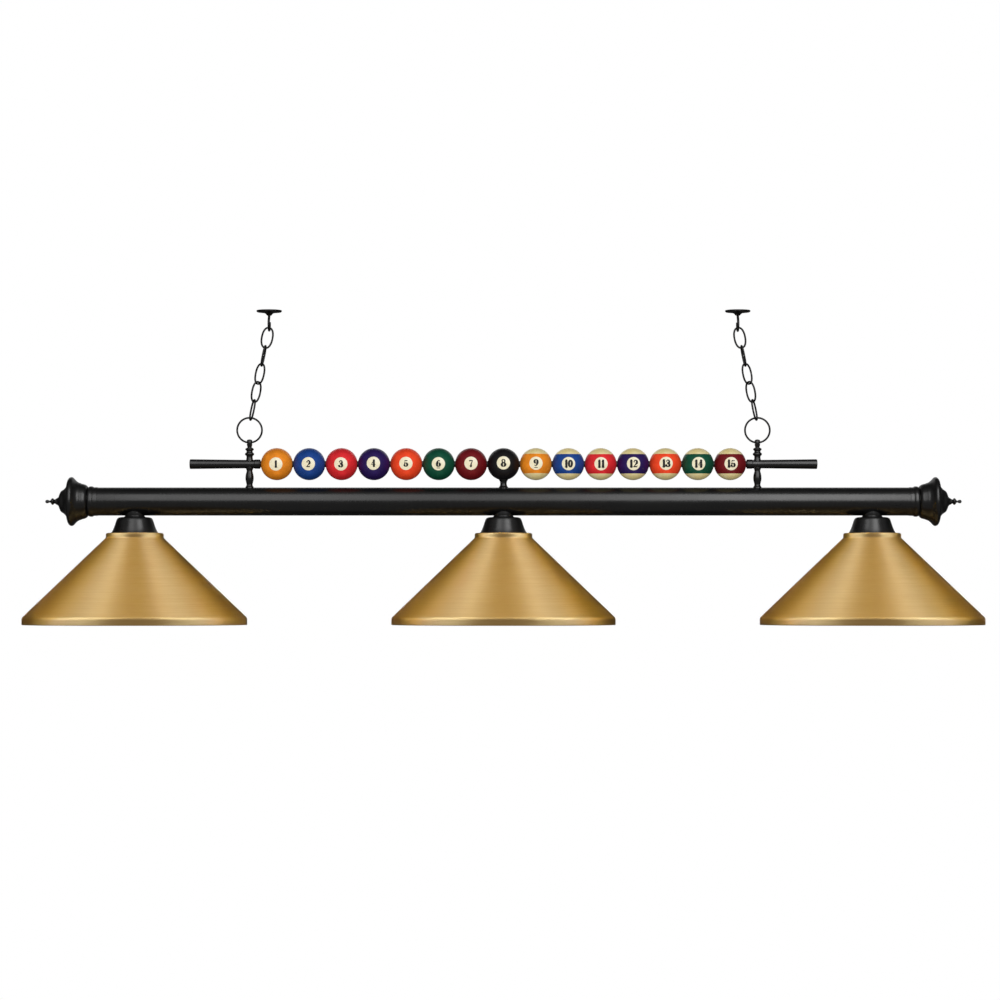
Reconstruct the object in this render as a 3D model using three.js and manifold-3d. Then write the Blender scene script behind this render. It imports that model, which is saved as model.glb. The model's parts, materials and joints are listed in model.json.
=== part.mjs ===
// Three-light pool table lamp: a tubular beam hung from two ceiling hooks by oval-link chains, with three conical
// metal shades under it and a decorative rod of fifteen billiard balls above it.
// Millimetres, +Z up. The origin lies in the ceiling plane, midway between the two hooks. The lamp's front faces -Y,
// its length runs along X, and the left end is at -X.
import * as THREE from "three";
import { mergeVertices } from "three/addons/utils/BufferGeometryUtils.js";
import Module from "manifold-3d";

const wasm = await Module();
wasm.setup();

// ---------------------------------------------------------------- driving dimensions
const GAP = 0.3; // clearance between touching pieces

const SHADE_PITCH = 584.2; // 23 in between shade axes
const SHADE_R = 177.8; // 14 in shade
const SHADE_WALL = 1.2;
const SHADE_TOP_Z = -352.9;
const SHADE_HOLE_R = 20.8;
const SHADE_CONE_Z = -361.8;
const SHADE_RIM_Z = -486.3;
const SHADE_BOTTOM_Z = -498.5;

const BEAM_Z = -303; // beam axis
const BEAM_R = 22.25;
const BEAM_BORE_R = 20.75;
const BEAM_HALF = 657.5;
const BEAM_SEG = 22;

const BALL_R = 25.4; // 2 in balls
const BALL_PITCH = 51.3;
const BALL_BORE_R = 5.5;
const BALL_COUNT = 15;
const BALL_FIXED = 8; // the ball that the middle post screws into
const ROD_Z = -243.7;
const ROD_R = 4.9;
const ROD_HALF = 397;
const BUTT_END = 497;

const POST_X = 402.3;
const STUD_R = 2.4;
const STUD_HOLE_R = 2.8;

const RING_R = 19.65; // centreline radius of the hanging ring
const WIRE_R = 1.5; // chain and ring wire
const RING_Z = -190;
const RING_LEAN = 6; // degrees round the ring at which the chain pulls
const LINK_LENGTH = 35.5; // outside
const LINK_WIDTH = 20;
const LINK_GAP = 0.35;
const HOOK_GAP = 0.6; // under the top link's wire, for its sideways swing
const CHAIN_LEAN = 11.5; // degrees from upright, towards the middle of the lamp
const LINK_TWIST = [0, 85, 145, 225, 290]; // each link's plane, from the top link down
const HOOK_WIRE_R = 2;
const HOOK_R = 10; // centreline radius of the hook's bend
const HOOK_PLATE_R = 20;
const OPEN_PIVOT_DROP = 0.5; // extra room under the top link at the right-hand hook

const CUP_SEG = 18;
const HOLDER_SEG = 14;
const BULB_SEG = 12;
const SHADE_SEG = 28;

// ---------------------------------------------------------------- helpers
// A closed geometry with shared vertices, no collapsed triangles, and its faces pointing out.
function tidy(geometry) {
  const plain = new THREE.BufferGeometry().setAttribute(
    "position",
    (geometry.index ? geometry.toNonIndexed() : geometry).getAttribute("position").clone(),
  );
  const merged = mergeVertices(plain, 1e-4);
  const p = merged.getAttribute("position");
  const i = merged.index.array;
  const kept = [];
  let six = 0;
  const a = new THREE.Vector3(), b = new THREE.Vector3(), c = new THREE.Vector3();
  for (let t = 0; t < i.length; t += 3) {
    if (i[t] === i[t + 1] || i[t + 1] === i[t + 2] || i[t] === i[t + 2]) continue;
    kept.push(i[t], i[t + 1], i[t + 2]);
    a.fromBufferAttribute(p, i[t]);
    b.fromBufferAttribute(p, i[t + 1]);
    c.fromBufferAttribute(p, i[t + 2]);
    six += a.dot(b.cross(c));
  }
  if (six < 0) for (let t = 0; t < kept.length; t += 3) [kept[t + 1], kept[t + 2]] = [kept[t + 2], kept[t + 1]];
  merged.setIndex(kept);
  return merged;
}

const toSolid = (geometry) => {
  const g = tidy(geometry);
  return new wasm.Manifold(
    new wasm.Mesh({
      numProp: 3,
      vertProperties: Float32Array.from(g.getAttribute("position").array),
      triVerts: Uint32Array.from(g.index.array),
    }),
  );
};

function toGeometry(solid) {
  const m = solid.getMesh();
  const v = new Float32Array(m.numVert * 3);
  for (let i = 0; i < m.numVert; i++) v.set(m.vertProperties.subarray(i * m.numProp, i * m.numProp + 3), i * 3);
  return new THREE.BufferGeometry()
    .setAttribute("position", new THREE.BufferAttribute(v, 3))
    .setIndex(new THREE.BufferAttribute(Uint32Array.from(m.triVerts), 1));
}

const cut = (geometry, ...tools) => toGeometry(tools.reduce((s, t) => s.subtract(toSolid(t)), toSolid(geometry)));
const join = (geometry, ...more) => toGeometry(more.reduce((s, t) => s.add(toSolid(t)), toSolid(geometry)));

// A turned piece. profile is [radius, place along the axis]; it starts and ends on the axis or closes on itself.
function turned(profile, segments, axis = "z") {
  const points = profile.map(([r, t]) => new THREE.Vector2(r, t));
  if (profile[0][0] > 0) points.push(points[0].clone());
  const g = new THREE.LatheGeometry(points, segments);
  return tidy(axis === "z" ? g.rotateX(Math.PI / 2) : g.rotateZ(-Math.PI / 2));
}

// A plain cylinder between two places on one axis.
function rod(r, from, to, segments, axis = "z") {
  const g = new THREE.CylinderGeometry(r, r, to - from, segments);
  if (axis === "z") g.rotateX(Math.PI / 2).translate(0, 0, (from + to) / 2);
  if (axis === "x") g.rotateZ(-Math.PI / 2).translate((from + to) / 2, 0, 0);
  if (axis === "y") g.translate(0, (from + to) / 2, 0);
  return g;
}

// Round wire bent along a curve, with closed ends.
function wire(points, r, sides, steps) {
  const section = new THREE.Shape();
  for (let k = 0; k <= sides; k++) {
    const t = (k / sides) * Math.PI * 2;
    section[k ? "lineTo" : "moveTo"](r * Math.cos(t), r * Math.sin(t));
  }
  const path = new THREE.CatmullRomCurve3(points.map((q) => new THREE.Vector3(...q)), false, "centripetal");
  return tidy(new THREE.ExtrudeGeometry(section, { steps, extrudePath: path, curveSegments: 1 }));
}

// A closed oval of round wire in the XZ plane, long axis Z: a torus whose centreline is drawn out to an oval.
function oval(halfWidth, halfLength, r, sides, steps, power) {
  const g = new THREE.TorusGeometry(10, 1, sides, steps);
  const p = g.getAttribute("position");
  const at = (u) => {
    const c = Math.cos(u), s = Math.sin(u);
    return new THREE.Vector3(
      halfWidth * Math.sign(c) * Math.abs(c) ** (2 / power),
      0,
      halfLength * Math.sign(s) * Math.abs(s) ** (2 / power),
    );
  };
  for (let j = 0; j <= sides; j++)
    for (let i = 0; i <= steps; i++) {
      const u = ((i % steps) / steps) * Math.PI * 2, v = ((j % sides) / sides) * Math.PI * 2;
      const c = at(u);
      const along = at(u + 1e-3).sub(at(u - 1e-3)).normalize();
      const out = new THREE.Vector3(along.z, 0, -along.x);
      c.addScaledVector(out, r * Math.cos(v)).y += r * Math.sin(v);
      p.setXYZ(j * (steps + 1) + i, c.x, c.y, c.z);
    }
  return tidy(g);
}

const paint = (color, roughness, metalness) => new THREE.MeshStandardMaterial({ color, roughness, metalness });
const BLACK = paint(0x17181a, 0.55, 0.4);
const CHAIN_BLACK = paint(0x121212, 0.4, 0.7);
const GOLD = paint(0xc1984f, 0.35, 1.0);
const PHENOLIC = paint(0x1b1b1b, 0.5, 0.0);
const OPAL = paint(0xf4f1e8, 0.25, 0.0);
const STEEL = paint(0x2a2a2c, 0.4, 0.8);
const WIRE = paint(0xd8d4c8, 0.6, 0.0);
const BALL_COLOURS = [0xe08a1e, 0x123f8a, 0xd3262c, 0x24135f, 0xf1452a, 0x0b5239, 0x7c151c, 0x141216];

const lamp = new THREE.Group();
const hung = new THREE.Group();
lamp.add(hung);
const add = (name, geometry, material, place = [0, 0, 0]) => {
  const mesh = new THREE.Mesh(geometry, material);
  mesh.name = name;
  mesh.position.set(...place);
  hung.add(mesh);
  return mesh;
};
const SIDES = [["left", -1], ["right", 1]];
const BAYS = [["left", -SHADE_PITCH], ["centre", 0], ["right", SHADE_PITCH]];

// ---------------------------------------------------------------- beam
const beamShell = turned(
  [[BEAM_BORE_R, -BEAM_HALF], [BEAM_R, -BEAM_HALF], [BEAM_R, BEAM_HALF], [BEAM_BORE_R, BEAM_HALF]],
  BEAM_SEG,
  "x",
);
const beamCuts = [
  ...BAYS.map(([, x]) => rod(6, -30, 0, 12).translate(x, 0, 0)), // socket nipples
  ...SIDES.map(([, s]) => rod(STUD_HOLE_R, 0, 30, 10).translate(s * POST_X, 0, 0)), // post studs
  rod(STUD_HOLE_R, 0, 30, 10), // middle post stud
  rod(4, 0, 30, 12, "y").translate(-340, 0, 0), // supply lead inlet in the back
];
add("beam_tube", cut(beamShell, ...beamCuts), BLACK, [0, 0, BEAM_Z]);

for (const [side, s] of SIDES) {
  // Bead collar over the end of the tube.
  const collar = turned(
    [
      [BEAM_R + GAP, 643], [23.2, 643], [24.1, 651.4], [24.1, 655], [23, 657.5], [BEAM_R + GAP, 657.5],
    ],
    BEAM_SEG,
    "x",
  );
  // Bell-shaped end cap, a spun shell with a spigot inside the tube.
  const cap = turned(
    [
      [BEAM_BORE_R - GAP, 645], [BEAM_BORE_R - GAP, 658], [22, 658.6], [26, 662], [28.6, 668], [32.3, 675.9],
      [38.4, 683.2], [38.8, 686], [36.6, 688.8], [26, 691.5], [14.8, 701.8], [4.6, 708.4],
      [STUD_HOLE_R, 708.4], [STUD_HOLE_R, 705.2], [13.4, 699.4], [25.2, 689], [35.8, 686],
      [30, 677], [26.2, 668], [18.9, 660], [18.9, 645],
    ],
    BEAM_SEG,
    "x",
  );
  // Turned tip that screws through the cap.
  const finial = turned(
    [
      [0, 702], [STUD_R, 702], [STUD_R, 708.7], [4.3, 708.7], [3.2, 711.4], [5.4, 714.4], [3.2, 716.6], [1.7, 719.4],
      [2.7, 722.8], [2.1, 725.2], [0, 726],
    ],
    12,
    "x",
  );
  for (const [name, g] of [["end_collar_", collar], ["end_cap_", cap], ["end_finial_", finial]])
    add(name + side, s > 0 ? g : g.rotateZ(Math.PI), BLACK, [0, 0, BEAM_Z]);
}

// ---------------------------------------------------------------- sockets, shades and bulbs
const tubeClear = (r) => rod(r, -60, 60, BEAM_SEG, "x").translate(0, 0, BEAM_Z);
for (const [bay, x] of BAYS) {
  // Cast socket cup: a neck saddled to the tube, and a flared skirt that covers the socket.
  const cup = cut(
    turned(
      [
        [5.5, -310], [16, -310], [16, -326.8], [25.2, -328.1], [29.4, -330.4], [30.5, -336.6], [31.7, -341.6], [36.8, -352.6],
        [35.2, -352.6], [30.2, -342], [29, -337], [27.8, -332.2], [25, -330.6], [5.5, -330.6],
      ],
      CUP_SEG,
    ),
    tubeClear(BEAM_R + GAP),
  );
  add("socket_cup_" + bay, cup, BLACK, [x, 0, 0]);

  // Screw-shell lampholder with its hollow nipple and lock nut inside the tube.
  add(
    "lampholder_" + bay,
    turned(
      [
        [0, -340], [3.4, -340], [3.4, -315.8], [8.2, -315.8], [8.2, -321.4], [5, -321.4], [5, -331], [15.6, -333],
        [17, -345.8], [19.6, -347.6], [19.6, -372.4], [17.6, -386], [13.8, -386], [13.8, -361.2], [0, -361.2],
      ],
      HOLDER_SEG,
    ),
    PHENOLIC,
    [x, 0, 0],
  );

  // Conical shade: pierced top, short collar, cone and upright rim.
  add(
    "shade_" + bay,
    turned(
      [
        [SHADE_HOLE_R, SHADE_TOP_Z], [43.4, SHADE_TOP_Z], [45.6, -355.2], [45.6, -361], [SHADE_R, SHADE_RIM_Z],
        [SHADE_R, SHADE_BOTTOM_Z], [SHADE_R - SHADE_WALL, SHADE_BOTTOM_Z], [SHADE_R - SHADE_WALL, SHADE_RIM_Z - 0.55],
        [44.4, -361.6], [44.4, SHADE_TOP_Z - SHADE_WALL], [SHADE_HOLE_R, SHADE_TOP_Z - SHADE_WALL],
      ],
      SHADE_SEG,
    ),
    GOLD,
    [x, 0, 0],
  );

  // Threaded ring that clamps the shade up against the cup.
  add(
    "shade_ring_nut_" + bay,
    turned([[20.25, -354.5], [27.2, -354.5], [27.2, -357], [24.2, -358], [24.2, -363.4], [20.25, -363.4]], HOLDER_SEG),
    PHENOLIC,
    [x, 0, 0],
  );

  // Standard 60 mm lamp bulb: thin glass and screw cap, hollow, open at the very tip.
  add(
    "bulb_" + bay,
    turned(
      [
        [0, -468.4], [14, -465.8], [24, -456.5], [28.7, -442], [27.2, -428], [15.4, -403], [11.8, -388], [11.8, -366.6],
        [1.6, -363.2], [1.6, -361.9], [6.6, -362.6], [13, -366.2], [13, -387.6], [16.6, -402.6], [28.4, -427.6], [29.9, -442],
        [24.8, -457.1], [14.6, -467], [0, -469.6],
      ],
      BULB_SEG,
    ),
    OPAL,
    [x, 0, 0],
  );
}

// ---------------------------------------------------------------- ball rod
add("ball_rod", rod(ROD_R, -ROD_HALF, ROD_HALF, 12, "x"), STEEL, [0, 0, ROD_Z]);

const ballProfile = [];
const mouth = Math.asin(BALL_BORE_R / BALL_R);
for (let k = 0; k <= 6; k++) {
  const t = mouth + (k / 6) * (Math.PI - 2 * mouth);
  ballProfile.push([BALL_R * Math.sin(t), -BALL_R * Math.cos(t)]);
}
for (let n = 1; n <= BALL_COUNT; n++) {
  let g = turned(ballProfile, 12, "x");
  if (n === BALL_FIXED) g = cut(g, rod(STUD_HOLE_R + 0.4, -30, 0, 10));
  const name = "ball_" + String(n).padStart(2, "0");
  add(name, g, paint(BALL_COLOURS[(n - 1) % 8], 0.15, 0), [(n - (BALL_COUNT + 1) / 2) * BALL_PITCH, 0, ROD_Z]);
}

const buttHole = () => rod(STUD_HOLE_R, -12, 12, 10).translate(POST_X, 0, 0);
for (const [side, s] of SIDES) {
  // Tapered cue-shaped end of the rod, drilled for the ball rod and cross-drilled for the post stud.
  const butt = cut(
    turned(
      [
        [0, 398.2], [ROD_R + 0.4, 398.2], [ROD_R + 0.4, 385.2], [7.2, 385.2], [6.9, 394.6], [7.7, 494.5],
        [6.6, BUTT_END], [0, BUTT_END],
      ],
      16,
      "x",
    ),
    buttHole(),
  );
  add("cue_butt_" + side, s > 0 ? butt : butt.rotateZ(Math.PI), BLACK, [0, 0, ROD_Z]);
}

// ---------------------------------------------------------------- posts
for (const [side, s] of SIDES) {
  // Upper post: an eye for the ring, two beads, and a stud down through the butt.
  const ringBottom = RING_Z - RING_R;
  const eye = cut(
    turned(
      [
        [0, -204.6], [2.8, -205], [4.9, -208.6], [4.6, -213], [3.4, -217], [6.7, -219.8], [5, -222.8],
        [7.3, -227.6], [5.1, -231], [5.8, -240], [STUD_R, -240], [STUD_R, -259.6], [0, -259.6],
      ],
      12,
    ),
    rod(2.6, -12, 12, 12, "x").translate(0, 0, ringBottom),
    cutTubeSkirt(7.15),
  );
  add("post_eye_" + side, eye, BLACK, [s * POST_X, 0, 0]);

  // Lower post: a turned baluster between the rod and the beam, drilled for the stud, with its own stud into the beam.
  const lower = cut(
    turned(
      [
        [0, -261], [STUD_HOLE_R, -261], [STUD_HOLE_R, -246], [5.8, -246], [4.6, -254.2], [6.3, -261.6],
        [6.3, -268.6], [4.8, -276], [6.8, -280.4], [7, -284], [STUD_R, -284], [STUD_R, -289.6], [0, -289.6],
      ],
      12,
    ),
    rod(7.15, -20, 20, 16, "x").translate(0, 0, ROD_Z),
    skirtOfBeam(),
  );
  add("post_lower_" + side, lower, BLACK, [s * POST_X, 0, 0]);
}

// Removes the metal of a post's foot that would lie inside the rod, and leaves the stud.
function cutTubeSkirt(r) {
  return cut(rod(r, -20, 20, 16, "x").translate(0, 0, ROD_Z), rod(STUD_R, -20, 20, 12).translate(0, 0, ROD_Z));
}
// The same over the beam's top.
function skirtOfBeam() {
  return cut(
    rod(BEAM_R + GAP, -20, 20, BEAM_SEG, "x").translate(0, 0, BEAM_Z),
    rod(STUD_R, -40, 40, 12).translate(0, 0, BEAM_Z),
  );
}

// Middle post: up into the fixed ball as far as the rod, and down through the beam's top wall.
add(
  "post_centre",
  cut(
    turned(
      [
        [0, ROD_Z - ROD_R - 0.4], [STUD_R, ROD_Z - ROD_R - 0.4], [STUD_R, -266.6], [7.2, -266.6], [5.6, -271.2],
        [5.4, -277], [8, -280], [8.4, -284], [STUD_R, -284], [STUD_R, -289.6], [0, -289.6],
      ],
      12,
    ),
    cut(new THREE.SphereGeometry(BALL_R + 0.3, 16, 12).translate(0, 0, ROD_Z), rod(STUD_R, -40, 0, 12).translate(0, 0, ROD_Z)),
    skirtOfBeam(),
  ),
  BLACK,
);

// ---------------------------------------------------------------- rings, chains and ceiling hooks
const lean = THREE.MathUtils.degToRad(CHAIN_LEAN);
const touch = 2 * WIRE_R + LINK_GAP;
const halfLink = LINK_LENGTH / 2 - WIRE_R;
for (const [side, s] of SIDES) {
  add("ring_" + side, new THREE.TorusGeometry(RING_R, WIRE_R, 6, 24).rotateX(Math.PI / 2), CHAIN_BLACK, [s * POST_X, 0, RING_Z]);

  const up = new THREE.Vector3(-s * Math.sin(lean), 0, Math.cos(lean));
  const ringLean = THREE.MathUtils.degToRad(RING_LEAN);
  const ringTop = new THREE.Vector3(s * POST_X - s * RING_R * Math.sin(ringLean), 0, RING_Z + RING_R * Math.cos(ringLean));
  const bottom = ringTop.clone().addScaledVector(up, -touch); // centre of the lowest link's bottom wire
  for (let k = 5; k >= 1; k--) {
    const centre = bottom.clone().addScaledVector(up, halfLink + (5 - k) * (2 * halfLink - touch));
    const link = add(
      `chain_link_${k}_${side}`,
      oval(LINK_WIDTH / 2 - WIRE_R, halfLink, WIRE_R, 6, 16, 2.25),
      CHAIN_BLACK,
      centre.toArray(),
    );
    link.rotation.set(0, -s * lean, THREE.MathUtils.degToRad(-s * LINK_TWIST[k - 1]), "YZX");
    if (k === 1) {
      const top = centre.clone().addScaledVector(up, halfLink);
      const bend = new THREE.Vector3(top.x, 0, top.z - WIRE_R - HOOK_WIRE_R - HOOK_GAP - (s > 0 ? OPEN_PIVOT_DROP : 0));
      addHook(side, bend);
    }
  }
}

// Ceiling hook: a round plate with two screw holes, a boss, and a hook whose opening faces the back.
function addHook(side, bend) {
  const c = bend.z + HOOK_R;
  const plate = turned(
    [
      [0, 0], [HOOK_PLATE_R, 0], [HOOK_PLATE_R, -2.2], [HOOK_PLATE_R - 1.2, -3.2], [9, -4.2], [3.4, -8.4], [0, -8.4],
    ],
    20,
  );
  const hook = wire(
    [
      [0, 0, -3], [0, 0, -7], [0, -0.4, c + 13.4], [0, -3.4, c + 10.4], [0, -7.6, c + 6.5], [0, -10, c], [0, -7.07, c - 7.07],
      [0, 0, c - HOOK_R], [0, 7.07, c - 7.07], [0, 10, c], [0, 9.4, c + 3.6],
    ],
    HOOK_WIRE_R,
    6,
    18,
  );
  const whole = cut(join(plate, hook), rod(2.2, -10, 5, 10).translate(13, 0, 0), rod(2.2, -10, 5, 10).translate(-13, 0, 0));
  add("ceiling_hook_" + side, whole, CHAIN_BLACK, [bend.x, 0, 0]);
}

// ---------------------------------------------------------------- wiring inside the beam
const run = rod(2.2, -SHADE_PITCH - 2, SHADE_PITCH + 2, 8, "x").translate(0, 0, -311.5);
const drops = BAYS.map(([, x]) => rod(1.8, -337, -311.5, 8).translate(x, 0, 0));
const splice = turned([[0, -352], [3.2, -352], [5.4, -346], [5.8, -330], [4.6, -328], [0, -328]], 10, "x").translate(0, 0, -308.5);
add("wiring_harness", join(run, splice, ...drops), WIRE);

export default lamp;
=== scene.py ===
# Pool table lamp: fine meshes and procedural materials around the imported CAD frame.
# Metres in the scene; the profiles below are in millimetres, as the part's own numbers are.
import json
import math
import random

import bmesh
import bpy
from mathutils import Matrix, Vector, noise

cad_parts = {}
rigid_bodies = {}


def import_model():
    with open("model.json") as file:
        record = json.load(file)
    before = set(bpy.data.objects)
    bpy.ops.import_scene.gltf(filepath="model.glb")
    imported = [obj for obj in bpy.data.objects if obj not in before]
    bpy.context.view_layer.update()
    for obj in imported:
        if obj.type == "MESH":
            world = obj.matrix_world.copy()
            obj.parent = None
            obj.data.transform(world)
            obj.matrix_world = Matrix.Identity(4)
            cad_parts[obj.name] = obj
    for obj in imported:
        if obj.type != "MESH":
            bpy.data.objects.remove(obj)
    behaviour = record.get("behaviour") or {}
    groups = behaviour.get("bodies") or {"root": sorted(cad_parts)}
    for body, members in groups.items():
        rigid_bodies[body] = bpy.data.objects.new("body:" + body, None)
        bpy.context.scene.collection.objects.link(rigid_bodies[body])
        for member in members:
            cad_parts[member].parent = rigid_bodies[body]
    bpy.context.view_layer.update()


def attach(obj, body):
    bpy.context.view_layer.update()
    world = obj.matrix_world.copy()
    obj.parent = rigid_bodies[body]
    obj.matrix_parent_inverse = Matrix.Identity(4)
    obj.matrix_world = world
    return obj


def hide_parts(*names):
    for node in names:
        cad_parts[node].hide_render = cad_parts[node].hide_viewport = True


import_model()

MM = 0.001
scene = bpy.context.scene

# ------------------------------------------------------------------ dimensions (mm), as in the part
SHADE_PITCH = 584.2
BEAM_Z, BEAM_R, BEAM_HALF = -303.0, 22.25, 657.5
ROD_Z, ROD_R = -243.7, 4.9
BALL_R, BALL_PITCH, BALL_BORE_R = 25.4, 51.3, 5.5
POST_X = 402.3
RING_R, WIRE_R, RING_Z, RING_LEAN = 19.65, 1.5, -190.0, 6.0
LINK_LENGTH, LINK_WIDTH, LINK_GAP, CHAIN_LEAN = 35.5, 20.0, 0.35, 11.5
LINK_TWIST = [0, 85, 145, 225, 290]
HOOK_WIRE_R, HOOK_R, HOOK_PLATE_R, HOOK_GAP, OPEN_PIVOT_DROP = 2.0, 10.0, 20.0, 0.6, 0.5
SIDES = (("left", -1), ("right", 1))
BAYS = (("left", -SHADE_PITCH), ("centre", 0.0), ("right", SHADE_PITCH))

# ------------------------------------------------------------------ camera
EYE_Z = -459.0
cam_data = bpy.data.cameras.new("camera")
cam_data.lens = 113.6
cam_data.sensor_width = 36.0
cam_data.shift_y = 0.1
cam_data.clip_end = 400.0
cam = bpy.data.objects.new("camera", cam_data)
cam.location = (-5.5 * MM, -5.0, EYE_Z * MM)
cam.rotation_euler = (math.pi / 2, 0, 0)
scene.collection.objects.link(cam)
scene.camera = cam


# ------------------------------------------------------------------ mesh helpers
def fillet(points, radii=0.3, steps=4):
    """Rounds each inner corner of an open polyline in (r, t); radii is one number or one for each point."""
    pts = [Vector((p[0], p[1])) for p in points]
    if not hasattr(radii, "__len__"):
        radii = [radii] * len(pts)
    out = [pts[0]]
    for i in range(1, len(pts) - 1):
        p, a, b = pts[i], pts[i - 1], pts[i + 1]
        u, v = (a - p), (b - p)
        lu, lv = u.length, v.length
        if lu < 1e-6 or lv < 1e-6 or radii[i] <= 0:
            out.append(p)
            continue
        u, v = u / lu, v / lv
        c = max(-1.0, min(1.0, u.dot(v)))
        half = math.acos(c) / 2
        if half > math.pi / 2 - 0.02 or half < 0.02:
            out.append(p)
            continue
        d = min(radii[i] / math.tan(half), lu * 0.49, lv * 0.49)
        r = d * math.tan(half)
        centre = p + (u + v).normalized() * (r / math.sin(half))
        s, e = p + u * d - centre, p + v * d - centre
        a0, a1 = math.atan2(s.y, s.x), math.atan2(e.y, e.x)
        turn = (a1 - a0 + math.pi) % (2 * math.pi) - math.pi
        n = max(2, int(steps))
        for k in range(n + 1):
            t = a0 + turn * k / n
            out.append(centre + Vector((math.cos(t), math.sin(t))) * r)
    out.append(pts[-1])
    return [(q.x, q.y) for q in out]


def smooth_curve(points, per=5):
    """A centripetal Catmull-Rom curve through (r, t) points."""
    pts = [Vector((p[0], p[1])) for p in points]
    pts = [pts[0] * 2 - pts[1]] + pts + [pts[-1] * 2 - pts[-2]]
    out = []
    for i in range(1, len(pts) - 2):
        p0, p1, p2, p3 = pts[i - 1], pts[i], pts[i + 1], pts[i + 2]
        t0 = 0.0
        t1 = t0 + max((p1 - p0).length, 1e-6) ** 0.5
        t2 = t1 + max((p2 - p1).length, 1e-6) ** 0.5
        t3 = t2 + max((p3 - p2).length, 1e-6) ** 0.5
        for k in range(per):
            t = t1 + (t2 - t1) * k / per
            a1 = p0 * ((t1 - t) / (t1 - t0)) + p1 * ((t - t0) / (t1 - t0))
            a2 = p1 * ((t2 - t) / (t2 - t1)) + p2 * ((t - t1) / (t2 - t1))
            a3 = p2 * ((t3 - t) / (t3 - t2)) + p3 * ((t - t2) / (t3 - t2))
            b1 = a1 * ((t2 - t) / (t2 - t0)) + a2 * ((t - t0) / (t2 - t0))
            b2 = a2 * ((t3 - t) / (t3 - t1)) + a3 * ((t - t1) / (t3 - t1))
            out.append(b1 * ((t2 - t) / (t2 - t1)) + b2 * ((t - t1) / (t2 - t1)))
    out.append(pts[-2])
    return [(max(q.x, 0.0), q.y) for q in out]


def new_object(name, bm, location=(0, 0, 0), smooth_angle=32):
    bmesh.ops.remove_doubles(bm, verts=bm.verts, dist=1e-7)
    bmesh.ops.recalc_face_normals(bm, faces=bm.faces)
    me = bpy.data.meshes.new(name)
    bm.to_mesh(me)
    bm.free()
    if me.polygons:
        volume = 0.0
        for p in me.polygons:
            c = p.center
            volume += c.dot(p.normal) * p.area
        if volume < 0:
            me.flip_normals()
    for p in me.polygons:
        p.use_smooth = True
    me.set_sharp_from_angle(angle=math.radians(smooth_angle))
    ob = bpy.data.objects.new(name, me)
    ob.location = Vector(location) * MM
    scene.collection.objects.link(ob)
    return ob


def lathe_bm(profile, segments=64, axis="z", bm=None):
    """Revolves (r, t) points in mm about an axis. A profile that does not reach the axis at its ends closes on itself."""
    bm = bm or bmesh.new()
    prof = [(r, t) for r, t in profile]
    clean = [prof[0]]
    for q in prof[1:]:
        if math.hypot(q[0] - clean[-1][0], q[1] - clean[-1][1]) > 1e-4:
            clean.append(q)
    prof = clean
    closed = prof[0][0] > 1e-6 and prof[-1][0] > 1e-6
    rings = []
    for r, t in prof:
        if r <= 1e-6:
            v = bm.verts.new(place(0, 0, t, axis))
            rings.append([v])
        else:
            rings.append([
                bm.verts.new(place(r * math.cos(2 * math.pi * k / segments), r * math.sin(2 * math.pi * k / segments), t, axis))
                for k in range(segments)
            ])
    pairs = list(zip(rings, rings[1:]))
    if closed:
        pairs.append((rings[-1], rings[0]))
    for a, b in pairs:
        for k in range(segments):
            j = (k + 1) % segments
            if len(a) == 1 and len(b) == 1:
                continue
            if len(a) == 1:
                bm.faces.new((a[0], b[k], b[j]))
            elif len(b) == 1:
                bm.faces.new((a[k], b[0], a[j]))
            else:
                bm.faces.new((a[k], b[k], b[j], a[j]))
    return bm


def place(a, b, t, axis):
    if axis == "z":
        return (a * MM, b * MM, t * MM)
    if axis == "x":
        return (t * MM, a * MM, b * MM)
    return (a * MM, t * MM, b * MM)


def lathe(name, profile, segments=64, axis="z", location=(0, 0, 0), smooth_angle=32):
    return new_object(name, lathe_bm(profile, segments, axis), location, smooth_angle)


def tube_bm(points, radius, sides=16, closed=False, bm=None, cap=True):
    """Round wire along points (mm, Vectors); radius is a number or one for each point. Parallel-transported frame."""
    bm = bm or bmesh.new()
    n = len(points)
    rad = radius if hasattr(radius, "__len__") else [radius] * n
    tang = []
    for i in range(n):
        if closed:
            d = points[(i + 1) % n] - points[i - 1]
        else:
            d = points[min(i + 1, n - 1)] - points[max(i - 1, 0)]
        tang.append(d.normalized())
    side = tang[0].orthogonal().normalized()
    sides_list = [side]
    for i in range(1, n):
        q = tang[i - 1].rotation_difference(tang[i])
        side = (q @ side).normalized()
        side = (side - tang[i] * side.dot(tang[i])).normalized()
        sides_list.append(side)
    twist = 0.0
    if closed:
        q = tang[-1].rotation_difference(tang[0])
        last = q @ sides_list[-1]
        s0 = sides_list[0]
        twist = math.atan2(tang[0].dot(last.cross(s0)), last.dot(s0))
    rings = []
    for i in range(n):
        s = sides_list[i]
        if closed:
            s = Matrix.Rotation(twist * i / n, 3, tang[i]) @ s
        b = tang[i].cross(s)
        rings.append([
            bm.verts.new((points[i] + (s * math.cos(2 * math.pi * k / sides) + b * math.sin(2 * math.pi * k / sides)) * rad[i]) * MM)
            for k in range(sides)
        ])
    pairs = list(zip(rings, rings[1:]))
    if closed:
        pairs.append((rings[-1], rings[0]))
    for a, b in pairs:
        for k in range(sides):
            j = (k + 1) % sides
            bm.faces.new((a[k], a[j], b[j], b[k]))
    if not closed and cap:
        bm.faces.new(list(reversed(rings[0])))
        bm.faces.new(rings[-1])
    return bm


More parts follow.
